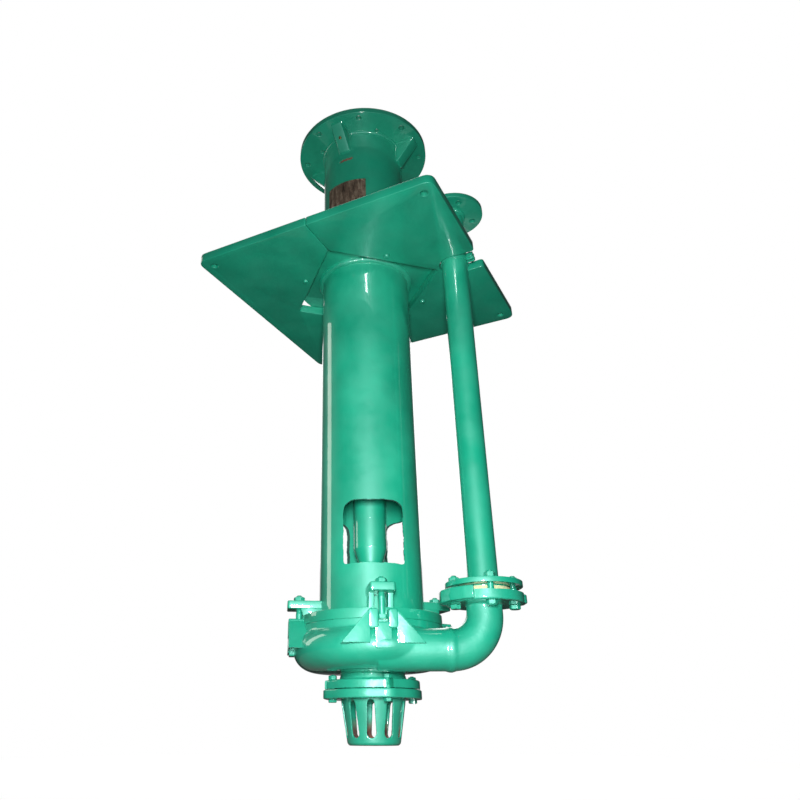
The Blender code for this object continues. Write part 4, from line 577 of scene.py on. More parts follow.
# Motor stand: a length of the same pipe with a bolting flange at its foot and the motor's flange welded on top over
# four thick gussets. A rough torch-cut slot drains it, and a hand hole at the back reaches the coupling. Its inside
# shows red primer.
stand_low, stand_high, motor_low, motor_face, spigot, spigot_face = 0.0506, 0.0706, 0.563, 0.583, 0.175, 0.578
enamel_on_stand = enamel("enamel_on_stand", plate_green, bare_and_shade_within=0.1325)
stand = revolve("motor_stand_enamelled", [
    (wall, stand_low), (flange_radius, stand_low), (flange_radius, stand_high), (pipe, stand_high), (pipe, motor_low),
    (flange_radius, motor_low), (flange_radius, motor_face), (spigot, motor_face), (spigot, spigot_face),
    (wall, spigot_face)], 216)
hand_hole = soften([(0.06, -0.08), (0.06, 0.08), (-0.06, 0.08), (-0.06, -0.08)], 0.038, 12) + [0, 0.300]
drain_slot = rough_cut(0.057, 0.0135, 0.004, 0.0011, 4.0) + [0, 0.453]
carve(stand, slab_piece("hand_hole", hand_hole, 0.06, 0.20, sharp, lambda p: facing(p, 90)),
      slab_piece("drain_slot", drain_slot, 0.1300, 0.20, sharp, lambda p: facing(p, -90)),
      drill(on_circle(flange_circle, 22.5 + 45 * np.arange(8)), 0.0185, motor_low, motor_face),
      drill(on_circle(0.300, diagonals), 0.014, motor_low, spigot_face),
      drill(on_circle(flange_circle, diagonals), m16_hole, stand_low, stand_high))
painted(stand, "motor_stand", "motor_flange", paint=enamel_on_stand)
gusset_root, gusset_low, gusset_tip, gusset_half = 0.1345, 0.485, 0.204, 0.019
gusset_side = [(gusset_root, gusset_low), (0.1425, gusset_low), (gusset_tip, 0.556), (gusset_tip, 0.5645),
               (gusset_root, 0.5645)]
painted(join("stand_gussets", *[
    slab_piece("gusset", gusset_side, -gusset_half, gusset_half, 0.0022, lambda p: standing(p, turn))
    for turn in quarters]), paint=enamel_on_stand)
seam_points = 160
gusset_seam = soften([(0.1375, gusset_low), (0.1375, 0.5615), (0.201, 0.5615)], 0.004, 9, closed=False)
gusset_seam = np.column_stack([np.interp(np.linspace(0, 1, seam_points), np.linspace(0, 1, len(gusset_seam)), c)
                               for c in gusset_seam.T])
gusset_welds = []
for turn in quarters:
    for side in (-gusset_half, gusset_half):
        seam_path = np.column_stack([gusset_seam, np.full(seam_points, side)])
        gusset_welds.append(weld_bead("gusset_weld", standing(seam_path, turn), 0.0028, closed=False))
painted(join("stand_gusset_welds", *gusset_welds), angle=80)
for name, height in (("stand_weld_top", motor_low - 0.0008), ("stand_weld_foot", stand_high + 0.0008)):
    painted(weld_bead(name, ring_path(pipe + 0.0007, height), 0.005), angle=80)

# Nameplate: a blank bronze-coloured plate, riveted on a pad that is welded to the stand and painted with it. Its
# brown runs in darker and lighter streaks up and down.


def segment(name, profile, start, end, steps=48, setback=0.0004):
    """Part of a surface of revolution between two angles in degrees, closed by a flat face at each end."""
    p = soften(profile, setback, 4)
    a = np.radians(np.linspace(start, end, steps))
    grid = np.stack([p[:, :1] * np.cos(a), p[:, :1] * np.sin(a), np.broadcast_to(p[:, 1:], (len(p), steps))], -1)
    faces = grid_faces(len(p), steps, wrap_rows=True, wrap_columns=False).tolist()
    first = np.arange(len(p)) * steps
    faces += [first.tolist(), (first + steps - 1).tolist()]
    return add_piece(name, grid.reshape(-1, 3), faces, merge=False)


def bar(inner, outer, low, high):
    """Corners of a rectangle of radius and height."""
    return [(inner, low), (outer, low), (outer, high), (inner, high)]


def tones(tree, value, *stops):
    """Colours along a socket's value: each stop is a position and a colour."""
    node = tree.nodes.new("ShaderNodeValToRGB")
    elements = node.color_ramp.elements
    for position, colour in stops[1:-1]:
        elements.new(position)
    for element, (position, colour) in zip(elements, stops):
        element.position, element.color = position, (*colour, 1)
    tree.links.new(value, node.inputs["Fac"])
    return node.outputs["Color"]


pad_half, plate_half = np.degrees(0.080 / pipe), np.degrees(0.069 / pipe)
painted(segment("nameplate_pad", bar(0.1355, 0.1385, 0.250, 0.359), -90 - pad_half, -90 + pad_half, setback=0.0008))
bronze, tree, shader, place = new_material("streaked_bronze", metallic=0.55)
# A noise stretched upright streaks the plate's brown darker and lighter.
streaks = noise(tree, stretched(tree, place, (1.6, 1.6, 0.45)), 46, 7, 0.72)
browns = tones(tree, streaks, (0.33, (0.040, 0.028, 0.020)), (0.5, (0.205, 0.145, 0.105)),
               (0.66, (0.420, 0.330, 0.250)))
tree.links.new(browns, shader.inputs["Base Color"])
tree.links.new(ramp(tree, streaks, 0, 1, 0.62, 0.34), shader.inputs["Roughness"])
tree.links.new(bump(tree, streaks, 0.0002, 0.8), shader.inputs["Normal"])
left, right_end, sheet_low, sheet_high = -90 - plate_half, -90 + plate_half, 0.257, 0.352
border_height, border_degrees, rule_height, inset = 0.0025, 1.05, 0.0008, 3
name_pieces = [segment("name_sheet", bar(0.1388, 0.1400, sheet_low, sheet_high), left, right_end)]
for low in (sheet_low, sheet_high - border_height):
    name_pieces.append(segment("name_border", bar(0.1395, 0.1406, low, low + border_height), left, right_end,
                               setback=0.0003))
for first in (left, right_end - border_degrees):
    name_pieces.append(segment("name_border", bar(0.1395, 0.1406, sheet_low, sheet_high), first,
                               first + border_degrees, 6, setback=0.0003))
for low in (0.2725, 0.2855, 0.2985, 0.3115, 0.3265):
    name_pieces.append(segment("name_rule", bar(0.1395, 0.1403, low, low + rule_height), left + inset,
                               right_end - inset, setback=0.0002))
rivet_profile = [(0, -0.001), (0.0026, -0.001), (0.0026, 0.0004), (0.0019, 0.0013), (0, 0.0016)]
for angle in (left + inset, right_end - inset):
    for height in (sheet_low + 0.0062, sheet_high - 0.0062):
        name_pieces.append(revolve("rivet", rivet_profile, 24, setback=0.0003, place=lambda p: facing(
            p + [0, height, 0.1398], angle)))
finish_piece(join("nameplate_blank", *name_pieces), "pump", bronze, "nameplate_metal", "nameplate")

# Earth screw: a brass pan-head screw with a slot, in a tapped hole in the sloping face of the front gusset. Left
# bare, so that a wire lug makes contact.


def speckled(name, dark, light, scale, detail, roughness, metallic=0.0, low=0.0, high=1.0):
    """Material whose colour a fine noise mixes from two close tones."""
    made, tree, shader, place = new_material(name, metallic, roughness)
    grain = noise(tree, place, scale, detail, 0.5)
    tree.links.new(tones(tree, grain, (low, dark), (high, light)), shader.inputs["Base Color"])
    return made


def on_front_slope(points):
    """Sets a shape on the front gusset's sloping face, its Z square to the face."""
    rise, run = 0.071, 0.0615
    out = np.array([0, -rise, -run]) / np.hypot(rise, run)
    across = np.array([1.0, 0, 0])
    p = np.asarray(points, float)
    flat = p[..., :1] * across + p[..., 1:2] * np.cross(out, across)
    return np.array([0, -0.17325, 0.5205]) + flat + p[..., 2:] * out


brass = speckled("brass", (0.32, 0.19, 0.06), (0.74, 0.52, 0.22), 380, 4, 0.32, 1.0, 0.3, 0.7)
earth_screw = revolve("earth_screw_head", [
    (0, -0.012), (0.003, -0.012), (0.003, 0.0003), (0.0055, 0.0003), (0.0055, 0.0019), (0.0046, 0.0031), (0, 0.0034)],
    48, on_front_slope, 0.0005)
very_sharp = 0.00001
slot_plan = [(-0.007, -0.0007), (0.007, -0.0007), (0.007, 0.0007), (-0.007, 0.0007)]
carve(earth_screw, slab_piece("screw_slot", slot_plan, 0.0018, 0.006, very_sharp, on_front_slope))
finish_piece(earth_screw, "pump", brass, "brass", "earth_screw")

# Column bolts: four M16 hexagon bolts that come down through the stand's foot and the column's flange into the
# plate's thread. Forged heads and rolled threads, painted over with everything else.


def hexagon_radius(a, flats):
    """Radius of a hexagon at angle a, with a corner at 30 degrees and every 60 after, its corners worn a little."""
    return np.minimum(flats / 2 / np.cos((a + np.pi / 6) % (np.pi / 3) - np.pi / 6), 0.568 * flats)


def ring_solid(rings, steps, closed):
    """Points and faces of a stack of rings, each a radius and a height for every angle."""
    a = np.linspace(0, 2 * np.pi, steps, endpoint=False)
    r = np.stack([np.broadcast_to(radius, steps) for radius, _ in rings])
    z = np.stack([np.broadcast_to(height, steps) for _, height in rings])
    points = np.stack([r * np.cos(a), r * np.sin(a), z], -1).reshape(-1, 3)
    return points, grid_faces(len(rings), steps, wrap_rows=closed)


def worn_hexagon(flats, steps):
    """Radius of a hexagon at each step of a turn, and how much its turned chamfer takes off the height there."""
    hexagon = hexagon_radius(np.linspace(0, 2 * np.pi, steps, endpoint=False), flats)
    return hexagon, np.maximum(hexagon - 0.46 * flats, 0) * 0.577


def bolt_shape(shank, flats, head, length, thread, pitch=0.002, steps=48):
    """Bolt with its seat at zero, its head below and its shank above: rings of a hexagon with a turned chamfer, then
    of a circle whose radius follows a triangle wave of height and angle, which is the thread."""
    turn = np.linspace(0, 1, steps, endpoint=False)
    hexagon, chamfer = worn_hexagon(flats, steps)
    thread_depth, r = 0.0009, shank / 2
    rings = [(0.0, -head), (0.45 * flats, -head), (0.46 * flats, -head + 0.0002), (hexagon - 0.0003, chamfer - head),
             (hexagon, chamfer - head + 0.0005), (hexagon, -0.0006), (hexagon - 0.0004, -0.0001), (0.47 * flats, 0.0),
             (r, 0.0), (r, length - thread - 0.001)]
    for z in np.arange(length - thread, length - 0.0016, pitch / 6):
        rings.append((r - thread_depth * np.abs((z / pitch - turn) % 1 * 2 - 1), z))
    rings += [(r - 0.0010, length - 0.0012), (r - 0.0022, length), (0.0, length)]
    return ring_solid(rings, steps, closed=False)


def nut_shape(shank, flats, height, steps=48):
    """Nut that stands on zero: a closed loop of rings, round inside and hexagonal with turned chamfers outside."""
    hexagon, chamfer = worn_hexagon(flats, steps)
    bore, mouth = shank / 2 + 0.0002, 0.0010
    rings = [(bore, mouth), (bore + mouth, 0.0), (0.455 * flats, 0.0), (hexagon - 0.0003, chamfer),
             (hexagon, chamfer + 0.0005), (hexagon, height - chamfer - 0.0005), (hexagon - 0.0003, height - chamfer),
             (0.455 * flats, height), (bore + mouth, height), (bore, height - mouth)]
    return ring_solid(rings, steps, closed=True)


def repeated(name, shape, turns, spots, place=None):
    """The same shape at several spots, each copy turned by its own matrix."""
    points, faces = shape
    spots = np.asarray(spots, float)
    turns = np.broadcast_to(turns, (len(spots), 3, 3))
    p = (np.einsum("nij,kj->nki", turns, points) + spots[:, None]).reshape(-1, 3)
    f = (faces[None] + (np.arange(len(spots)) * len(points))[:, None, None]).reshape(-1, 4)
    return add_piece(name, p if place is None else place(p), f)


def about_z(degrees):
    """Matrices that turn about Z."""
    a = np.radians(np.atleast_1d(degrees).astype(float))
    turn = np.zeros((len(a), 3, 3))
    turn[:, 0, 0] = turn[:, 1, 1] = np.cos(a)
    turn[:, 1, 0], turn[:, 0, 1], turn[:, 2, 2] = np.sin(a), -np.sin(a), 1
    return turn


def at_level(places, height):
    """Places in a plane raised to one height, or each to its own."""
    return np.column_stack([np.asarray(places, float), np.broadcast_to(height, len(places))])


def numbered(name):
    """The four nodes of a set, which are numbered from 1."""
    return [f"{name}_{k}" for k in (1, 2, 3, 4)]


upside_down = np.diag([1.0, -1.0, -1.0])
column_bolts = repeated("column_bolts", bolt_shape(0.016, 0.024, 0.010, 0.0759, 0.034),
                        about_z([12, 47, 31, 5]) @ upside_down,
                        at_level(on_circle(flange_circle, diagonals), stand_high + 0.0003))
painted(column_bolts, *numbered("column_bolt"), angle=28)

# Bearing housing: a long cast-iron cartridge, turned outside, that hangs in the column from its top flange. Screwed
# covers close both ends over the bearings, and each carries a black lip seal.
housing, seat, cavity = 0.095, 0.0703, 0.064
painted(revolve("bearing_housing_enamelled", [
    (seat, -0.3994), (housing, -0.3994), (housing, stand_low), (0.124, stand_low), (0.124, 0.0686), (housing, 0.0686),
    (housing, 0.1006), (seat, 0.1006), (seat, 0.058), (cavity, 0.058), (cavity, -0.3598), (seat, -0.3598)]),
    "bearing_housing")
for end, way, press, low, high, hole, shelf in (("upper", 1, 0.0946, 0.1009, 0.1249, 0.0401, 0.1139),
                                                ("lower", -1, -0.3934, -0.3997, -0.4177, 0.0541, -0.4067)):
    cover = revolve(end + "_cover_turned", [
        (0.062, press), (0.070, press), (0.070, low), (housing, low), (housing, high), (hole, high), (hole, shelf),
        (0.062, shelf)], setback=0.0009)
    screws = repeated("cover_screws", bolt_shape(0.010, 0.017, 0.007, 0.008, 0.004),
                      upside_down if way > 0 else np.eye(3), at_level(on_circle(0.165, quarters), high))
    painted(join(end + "_cover", cover, screws), end + "_bearing_cover", angle=28)

rubber = speckled("nitrile_rubber", (0.010, 0.010, 0.011), (0.035, 0.035, 0.036), 160, 5, 0.55)
for end, inner, low, high in (("upper", 0.0308, 0.1149, 0.1249), ("lower", 0.0448, -0.4177, -0.4077)):
    seal = revolve(end + "_lip_seal", bar(inner, inner + 0.009, low, high), 96, setback=0.001)
    finish_piece(seal, "pump", rubber, "rubber", end + "_seal")

# Shaft: turned from one bar, thick all the way down the cantilever, with a taper above the sleeve. Its long bare run
# in the column is painted green like the rest, and its seats and coupling end are bare.


def metal(name, dark, light, roughness, rings=0.0, pits=0.0):
    """Bare metal: a fine noise mixes two close shades, rings of height make turning marks, and pits a cast skin."""
    made, tree, shader, place = new_material(name, metallic=1.0)
    grain = noise(tree, place, 70, 6, 0.5)
    tree.links.new(tones(tree, grain, (0.32, dark), (0.68, light)), shader.inputs["Base Color"])
    tree.links.new(ramp(tree, grain, 0, 1, roughness * 0.75, roughness * 1.3), shader.inputs["Roughness"])
    surface = noise(tree, stretched(tree, place, (8, 8, rings) if rings else (pits, pits, pits)), 1.0, 3, 0.5)
    tree.links.new(bump(tree, surface, 0.00003 if rings else 0.0004, 0.8), shader.inputs["Normal"])
    return made


turned_steel = metal("turned_steel", (0.36, 0.36, 0.37), (0.56, 0.56, 0.57), 0.30, rings=2600)
ground_steel = metal("ground_steel", (0.50, 0.51, 0.53), (0.62, 0.63, 0.65), 0.17, rings=5200)
hard_iron = metal("high_chrome_iron", (0.16, 0.15, 0.14), (0.31, 0.30, 0.28), 0.48, pits=420)
overhang, taper_low, taper_high = 0.044, -0.876, -0.836
finish_piece(revolve("shaft_turned", [
    (0, -1.094), (0.0195, -1.094), (0.0195, -1.0619), (0.0275, -1.0619), (0.0275, -0.9764), (0.031, -0.9764),
    (0.031, taper_low), (overhang, taper_high), (overhang, -0.3934), (0.040, -0.3934), (0.040, -0.3598),
    (0.039, -0.3598), (0.039, 0.058), (0.0325, 0.058), (0.0325, 0.0935), (0.030, 0.0935), (0.030, 0.1977),
    (0.0275, 0.1977), (0.0275, 0.268), (0, 0.268)], 96, setback=0.0008), "rotor", turned_steel, "machined_steel",
    "shaft")
finish_piece(revolve("shaft_run_enamelled", [
    (0.0300, -0.9755), (0.0313, -0.9755), (0.0313, taper_low), (overhang + 0.0003, taper_high),
    (overhang + 0.0003, -0.430), (0.0430, -0.430)], 144, setback=0.0006), "rotor", enamel_on_plate, "green_paint")
sleeve_bore, sleeve, sleeve_low, sleeve_high = 0.0278, 0.036, -1.0617, -0.9767
finish_piece(revolve("sleeve_turned", bar(sleeve_bore, sleeve, sleeve_low, sleeve_high), 96), "rotor", hard_iron,
             "wear_alloy", "shaft_sleeve")
locknut = revolve("locknut_turned", bar(0.0303, 0.043, 0.0946, 0.1086), 96, setback=0.0008)
spanner_slot = [(0.038, -0.0045), (0.06, -0.0045), (0.06, 0.0045), (0.038, 0.0045)]
for turn in quarters:
    carve(locknut, slab_piece("locknut_slot", spanner_slot, 0.09, 0.12, very_sharp, lambda p: turned_out(p, turn)))
finish_piece(locknut, "rotor", turned_steel, "machined_steel", "bearing_locknut")

# Coupling half: a turned steel hub with four claws on its disc, keyed on the shaft's top. The other half belongs to
# the motor, so this one stands open in the motor's flange.
coupling_bore, hub, disc, disc_low, disc_high = 0.0278, 0.049, 0.075, 0.246, 0.268
coupling = revolve("coupling_turned", [(coupling_bore, 0.198), (hub, 0.198), (hub, disc_low), (disc, disc_low),
                                       (disc, disc_high), (coupling_bore, disc_high)], 144, setback=0.0016)
claws = [segment("claw", bar(hub, 0.0695, 0.2600, 0.288), middle - 22.5, middle + 22.5, 24, 0.0014)
         for middle in diagonals]
keyway = [(0, -0.0073), (0.0313, -0.0073), (0.0313, 0.0073), (0, 0.0073)]
coupling = carve(join("coupling_claws", coupling, *claws), slab_piece("keyway", keyway, 0.19, 0.30, very_sharp))
finish_piece(coupling, "rotor", turned_steel, "machined_steel", "coupling_half")

# Impeller: closed, of white iron, cast in one and ground on its faces. Five vanes curve backwards between a back
# shroud with its hub and a front shroud with the eye.
tip_radius, eye, vane_from, vane_to, vane_half, vane_angle = 0.1215, 0.045, 0.043, 0.1205, 0.004, np.radians(27)
impeller_parts = [
    revolve("impeller_hub", [
        (0, -0.002), (0.021, -0.002), (0.035, 0.012), (0.035, 0.0215), (0.0455, 0.032), (tip_radius, 0.032),
        (tip_radius, 0.042), (0.0198, 0.042), (0.0198, 0.0097), (0, 0.0097)], 96, pump_end, 0.002),
    revolve("impeller_front", bar(eye, tip_radius, -0.022, -0.014), 96, pump_end, 0.0015)]
along_vane = np.linspace(vane_from, vane_to, 40)
spiral = -np.log(along_vane / vane_from) / np.tan(vane_angle)
half_vane = vane_half / np.sin(vane_angle) / along_vane
vane_sides = [np.column_stack([along_vane * np.cos(a), along_vane * np.sin(a)])
              for a in (spiral + half_vane, spiral - half_vane)]
vane = np.concatenate([vane_sides[0], vane_sides[1][::-1]])
for k in range(5):
    impeller_parts.append(slab_piece("vane", vane, -0.016, 0.034, 0.0005, lambda p: pump_end(turned_out(p, 72 * k))))
finish_piece(join("impeller_cast", *impeller_parts), "rotor", hard_iron, "wear_alloy", "impeller")

# Rolling bearings: bought-in rings of hardened, ground steel, a pair at each end of the housing and shut up inside
# it. Their shapes are the frame's own.
for node in ("upper_bearing_outer", "lower_bearing_outer", "upper_bearing_inner", "lower_bearing_inner"):
    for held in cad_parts[node].material_slots:
        held.material = ground_steel

# Riser: a length of 76 mm pipe with a flange welded on at each end. It stands on the discharge elbow, passes the
# plate through the notch, and ends in the flange that the plant's pipework bolts to.


def at_riser(points):
    """From the riser's own axis to the part's frame."""
    return np.asarray(points, float) + [riser_x, 0, 0]


riser_bore, riser_pipe, riser_circle, riser_hole = 0.033, 0.038, 0.145, 0.018
riser_foot, riser_foot_top, riser_top, riser_face = -0.9638, -0.9514, 0.184, 0.200
riser = revolve("riser_enamelled", [
    (riser_bore, -0.9714), (0.059, -0.9714), (0.059, riser_foot), (0.094, riser_foot), (0.094, riser_foot_top),
    (riser_pipe, riser_foot_top), (riser_pipe, riser_top), (0.100, riser_top), (0.100, riser_face),
    (riser_bore, riser_face)], 144, at_riser)
carve(riser, drill(on_circle(riser_circle, 30 + quarters) + [riser_x, 0], riser_hole, riser_foot, riser_foot_top),
      drill(on_circle(riser_circle, 40 + quarters) + [riser_x, 0], riser_hole, riser_top, riser_face))
painted(riser, "discharge_pipe")
riser_welds = [weld_bead("riser_weld", ring_path(0.0385, height, 360, (riser_x, 0)), size, 0.0043)
               for height, size in ((riser_foot_top + 0.0006, 0.0040), (riser_top - 0.0020, 0.0065))]
painted(join("riser_welds", *riser_welds), angle=80)

# Riser clip: a strap bent round the riser in the plate's notch, its two ears pinched by an M10 bolt and nut. It keeps
# the tall pipe from swaying, and was painted with it.
clip_outer, clip_inner, clip_end, clip_bolt_x, clip_bolt_z = 0.0423, 0.0383, 0.0610, 0.0525, 0.014
clip_plan = np.concatenate([
    [(clip_end, 0.004), (clip_end, 0.008)], arc_points((0, 0), clip_outer, 10.9, 349.1, 97),
    [(clip_end, -0.008), (clip_end, -0.004)], arc_points((0, 0), clip_inner, 354, 6, 97)])
painted(slab_piece("riser_clip_strap", clip_plan, 0.001, 0.027, 0.0007, at_riser), "riser_clip")
along_y = np.array([[1.0, 0, 0], [0, 0, 1], [0, -1, 0]])
for name, shape, clip_y in (("clip_bolt", bolt_shape(0.010, 0.017, 0.007, 0.0286, 0.012, 0.0015), -0.0083),
                            ("clip_nut", nut_shape(0.010, 0.017, 0.008), 0.0083)):
    painted(repeated(name, shape, along_y, [(clip_bolt_x, clip_y, clip_bolt_z)], at_riser), "riser_" + name, angle=28)

# Pump casing: volute, tangential discharge with its elbow, suction neck, rim and flanges in one sand casting of iron,
# with the fillets of its pattern. The flanges swell at their bolts. Faces and rim are machined, and the rest is cast
# skin below thick enamel.
cast_green = (0.005, 0.350, 0.210)
enamel_on_casting = enamel("enamel_on_casting", cast_green, texture=2.8, dust=0.05, roughness=0.46)
discharge_x, discharge_y, elbow = 0.26457, -0.15275, 0.084
elbow_x = discharge_x - 0.003                # the rough leg stands a little off the riser's axis
volute_middle, tongue = 0.008, 11 / 12       # level of its widest ring, and the share of a turn where it falls back


def volute_rings(shrink, roof):
    """Rings of the volute: at section angle t a ring lies sin t down or up and cos t of the way from the flat's
    radius to the reach. Both grow round from the tongue, the reach with the square, and fall back just before it."""
    t = np.linspace(-np.pi / 2, np.pi / 2, 33)
    turn = (np.linspace(0, 1, 288, endpoint=False) + 1 / 12) % 1
    share = np.where(turn > tongue, (1 - turn) * 11, turn)
    flat = 0.139 - shrink
    reach = 0.188 + 0.036 * share ** 2 - shrink
    depth = 0.043 + 0.010 * share - shrink
    rise = 0.052 - roof
    return [(flat + (reach - flat) * max(c, 0), volute_middle + s * (rise if s > 0 else depth))
            for c, s in zip(np.cos(t), np.sin(t))]


def pipe_run(name, path, radius, steps=72):
    """Round bar along a path in an upright plane, with a flat face at each end; the radius may change along it."""
    p = np.asarray(path, float)
    ahead_of = np.gradient(p, axis=0)
    ahead_of /= np.linalg.norm(ahead_of, axis=1)[:, None]
    across = np.array([0, 1.0, 0])
    t = np.linspace(0, 2 * np.pi, steps, endpoint=False)[None, :, None]
    around_path = np.cos(t) * across + np.sin(t) * np.cross(ahead_of, across)[:, None]
    rings = p[:, None] + np.broadcast_to(radius, (len(p),))[:, None, None] * around_path
    ends = [list(range(steps)), list(range(steps * len(p) - steps, steps * len(p)))]
    return add_piece(name, rings.reshape(-1, 3), grid_faces(len(p), steps).tolist() + ends)


def cast(obj, grain, rounds):
    """Fuses the shapes of a mesh into one skin and eases its inside corners to fillets, as a mould does."""
    skin = obj.modifiers.new("skin", "REMESH")
    skin.mode, skin.voxel_size = "VOXEL", grain
    ease = obj.modifiers.new("ease", "SMOOTH")
    ease.factor, ease.iterations = 0.5, rounds
    return settle(obj)


def discharge_run(start, end):
    """Centre line of the discharge: tangent to the volute, round the elbow and up."""
    bend = arc_points((elbow_x - elbow, elbow), elbow, -90, 0, 25)
    line = np.concatenate([[(start, 0), (0.10, 0), (0.15, 0)], bend, [(elbow_x, end)]])
    return np.column_stack([line[:, 0], np.full(len(line), discharge_y), line[:, 1]])


def beside_riser(points):
    """From the riser's axis to the pump end's frame."""
    return np.asarray(points, float) + [discharge_x, discharge_y, 0]


def along_discharge(points):
    """Turns Z along the discharge's level run."""
    p = np.asarray(points, float)
    return np.stack([p[..., 2], p[..., 1] + discharge_y, -p[..., 0]], axis=-1)


def cut(name, profile, steps=144, place=None):
    """Turned cutter or rough shape with sharp corners."""
    return revolve(name, profile, steps, place, 0)


around = np.linspace(0, 2 * np.pi, 360, endpoint=False)
lobed = np.exp(-((np.degrees(around) - 15 + 45) % 90 - 45) ** 2 / 120)


def lobed_outline(radius):
    """Circle that swells to a soft lobe at each of the suction's four bolts."""
    return np.column_stack([np.cos(around), np.sin(around)]) * (radius + 0.0075 * lobed)[:, None]


neck_low, neck_face, rim, rim_low = -0.083, -0.079, 0.1815, 0.040
skin_parts = [
    slab_piece("neck_flange", lobed_outline(0.1165), neck_low, -0.059, 0.002),
    add_piece("volute", *ring_solid([(0.0, -0.045)] + volute_rings(0, 0) + [(0.0, 0.060)], 288, False)),
    cut("spool", [(0, neck_low), (0.110, neck_low), (0.110, -0.060), (0.083, -0.060), (0.083, -0.050),
                  (0.080, -0.047), (0.080, -0.036), (0.139, 0.020), (rim, rim_low), (rim, 0.072), (0, 0.072)], 288),
    pipe_run("elbow", discharge_run(0.0, 0.112), np.interp(np.arange(29), [0, 3, 27], [0.0485, 0.0475, 0.0435])),
    cut("collar", [(0, 0.160), (0.0478, 0.160), (0.0502, 0.166), (0.0505, 0.174), (0.0478, 0.182), (0, 0.182)], 96,
        along_discharge),
    cut("pip", [(0, 0.04), (0.0055, 0.04), (0.0050, 0.0565), (0, 0.0575)], 24, lambda p: p + [0.172, discharge_y, 0]),
    cut("elbow_flange", [(0, 0.101), (0.0942, 0.101), (0.0942, 0.132), (0, 0.132)], 144, beside_riser)]
casing = cast(join("casing_skin", *skin_parts), 0.0024, 7)
flange_face, raised_face, raised = 0.124, 0.128, 0.059
cavity_rings = [(0, -0.16), (0.0625, -0.16), (0.0625, -0.0448)] + volute_rings(0.010, 0.018) + [
    (0.1275, 0.042), (0.1275, 0.0475), (0.153, 0.0475), (0.153, 0.0655), (0.20, 0.0655), (0.20, 0.131), (0, 0.131)]
carve(casing, add_piece("cavity", *ring_solid(cavity_rings, 288, False)),
      pipe_run("passage", discharge_run(-0.010, 0.30), 0.034, 48))
elbow_cut = cut("elbow_cut", [(raised, flange_face), (0.2, flange_face), (0.2, 0.15), (0.0, 0.15), (0.0, raised_face),
                              (raised, raised_face)], 144, beside_riser)
neck_cut = cut("neck_cut", [(0, -0.2), (0.2, -0.2), (0.2, neck_face), (0, neck_face)], 96)
slot_half = 0.0090
open_slot = np.concatenate([arc_points((0.104, 0), slot_half, 90, 270, 13), [(0.14, -slot_half), (0.14, slot_half)]])
discharge_spots = on_circle(riser_circle, quarters) + [discharge_x, discharge_y]
carve(casing, elbow_cut, neck_cut, drill(discharge_spots, riser_hole, 0.101, flange_face),
      *[slab_piece("open_slot", open_slot, -0.10, -0.0565, very_sharp, lambda p: turned_out(p, 15 + turn))
        for turn in quarters])
to_part = Matrix.Translation((0, 0, pump_level)) @ Matrix.Rotation(np.pi / 6, 4, "Z")
casing.data.transform(to_part)
painted(casing, "pump_casing", paint=enamel_on_casting, slot="green_casting", angle=40)

# Casing lugs and bosses: under each clamp bolt a fork with two rounded cheeks on a block, a web below the slot and a
# triangular wing to each side, and at the elbow's flange a rough square boss and a flatter one. They are cast on too.


def lug_block(outline, root, tip, angle, edge=0.0022, setback=0.004):
    """Block whose outline faces outwards at the angle, its corners and front edges rounded."""
    return slab_piece("lug", soften(outline, setback, 5), root, tip, edge, lambda p: facing(p, angle))


def box_corners(left_side, right_side, low, high):
    """Corners of an upright rectangle."""
    return [(left_side, low), (right_side, low), (right_side, high), (left_side, high)]


lug_root, pocket_root, pocket_floor = 0.150, 0.1757, 0.0548
lugs = []
for angle in clamp_degrees:
    for way in (-1, 1):
        cheek = box_corners(*sorted((way * 0.0115, way * 0.0350)), 0.040, 0.084)
        lugs.append(lug_block(cheek, lug_root, 0.2160, angle, 0.0032, 0.007))
        wing = [(way * 0.031, 0.008), (way * 0.098, 0.008), (way * 0.037, 0.078), (way * 0.031, 0.078)]
        lugs.append(lug_block(wing, 0.152, 0.2148, angle, 0.0012, 0.0012))
    block = lug_block(box_corners(-0.036, 0.036, 0.010, 0.066), lug_root, 0.194, angle)
    web = lug_block(box_corners(-0.0205, 0.0205, -0.004, 0.0545), lug_root, 0.2125, angle, 0.0028, 0.006)
    carve(block, *[slab_piece(name, box_corners(-half_width, half_width, pocket_floor, top), pocket_root, 0.26,
                              very_sharp, lambda p: facing(p, angle))
                   for name, half_width, top in (("pocket", 0.0153, 0.066), ("slot", 0.010, 0.17))])
    lugs += [block, web]
boss_plan = [(-0.109, -0.017), (-0.094, -0.054), (-0.066, -0.082), (-0.046, -0.0955), (-0.038, -0.072),
             (-0.063, 0.026), (-0.075, 0.031), (-0.098, 0.031), (-0.109, 0.017)]
lobe_plan = [(0.063, -0.0248), (0.092, -0.0248), (0.100, -0.016), (0.100, 0.016), (0.092, 0.0248), (0.063, 0.0248)]
boss_low = 0.103
for plan, side, high in ((boss_plan, -1, 0.133), (lobe_plan, 1, 0.1238)):
    boss = slab_piece("boss", soften(plan, 0.004, 5), boss_low, high, 0.0030, beside_riser)
    bolt_spot = (discharge_x + side * riser_circle / 2, discharge_y)
    lugs.append(carve(boss, drill([bolt_spot], riser_hole, boss_low, high)))
lugs = join("casing_lugs", *lugs)
lugs.data.transform(to_part)
painted(lugs, paint=enamel_on_casting, slot="green_casting")

# Clamps: M16 bolts whose heads hang in the forks. Their nuts pull the ears of the column's foot down on the casing's
# rim. Forged heads and rolled threads below the paint.


def fasteners(node, shape, degrees, spots, height):
    """Four bolts or nuts of the pump end, each turned by its own angle, painted with the casting."""
    painted(repeated(node + "s", shape, about_z(degrees), at_level(spots, height), pump_end), *numbered(node),
            paint=enamel_on_casting, angle=28)


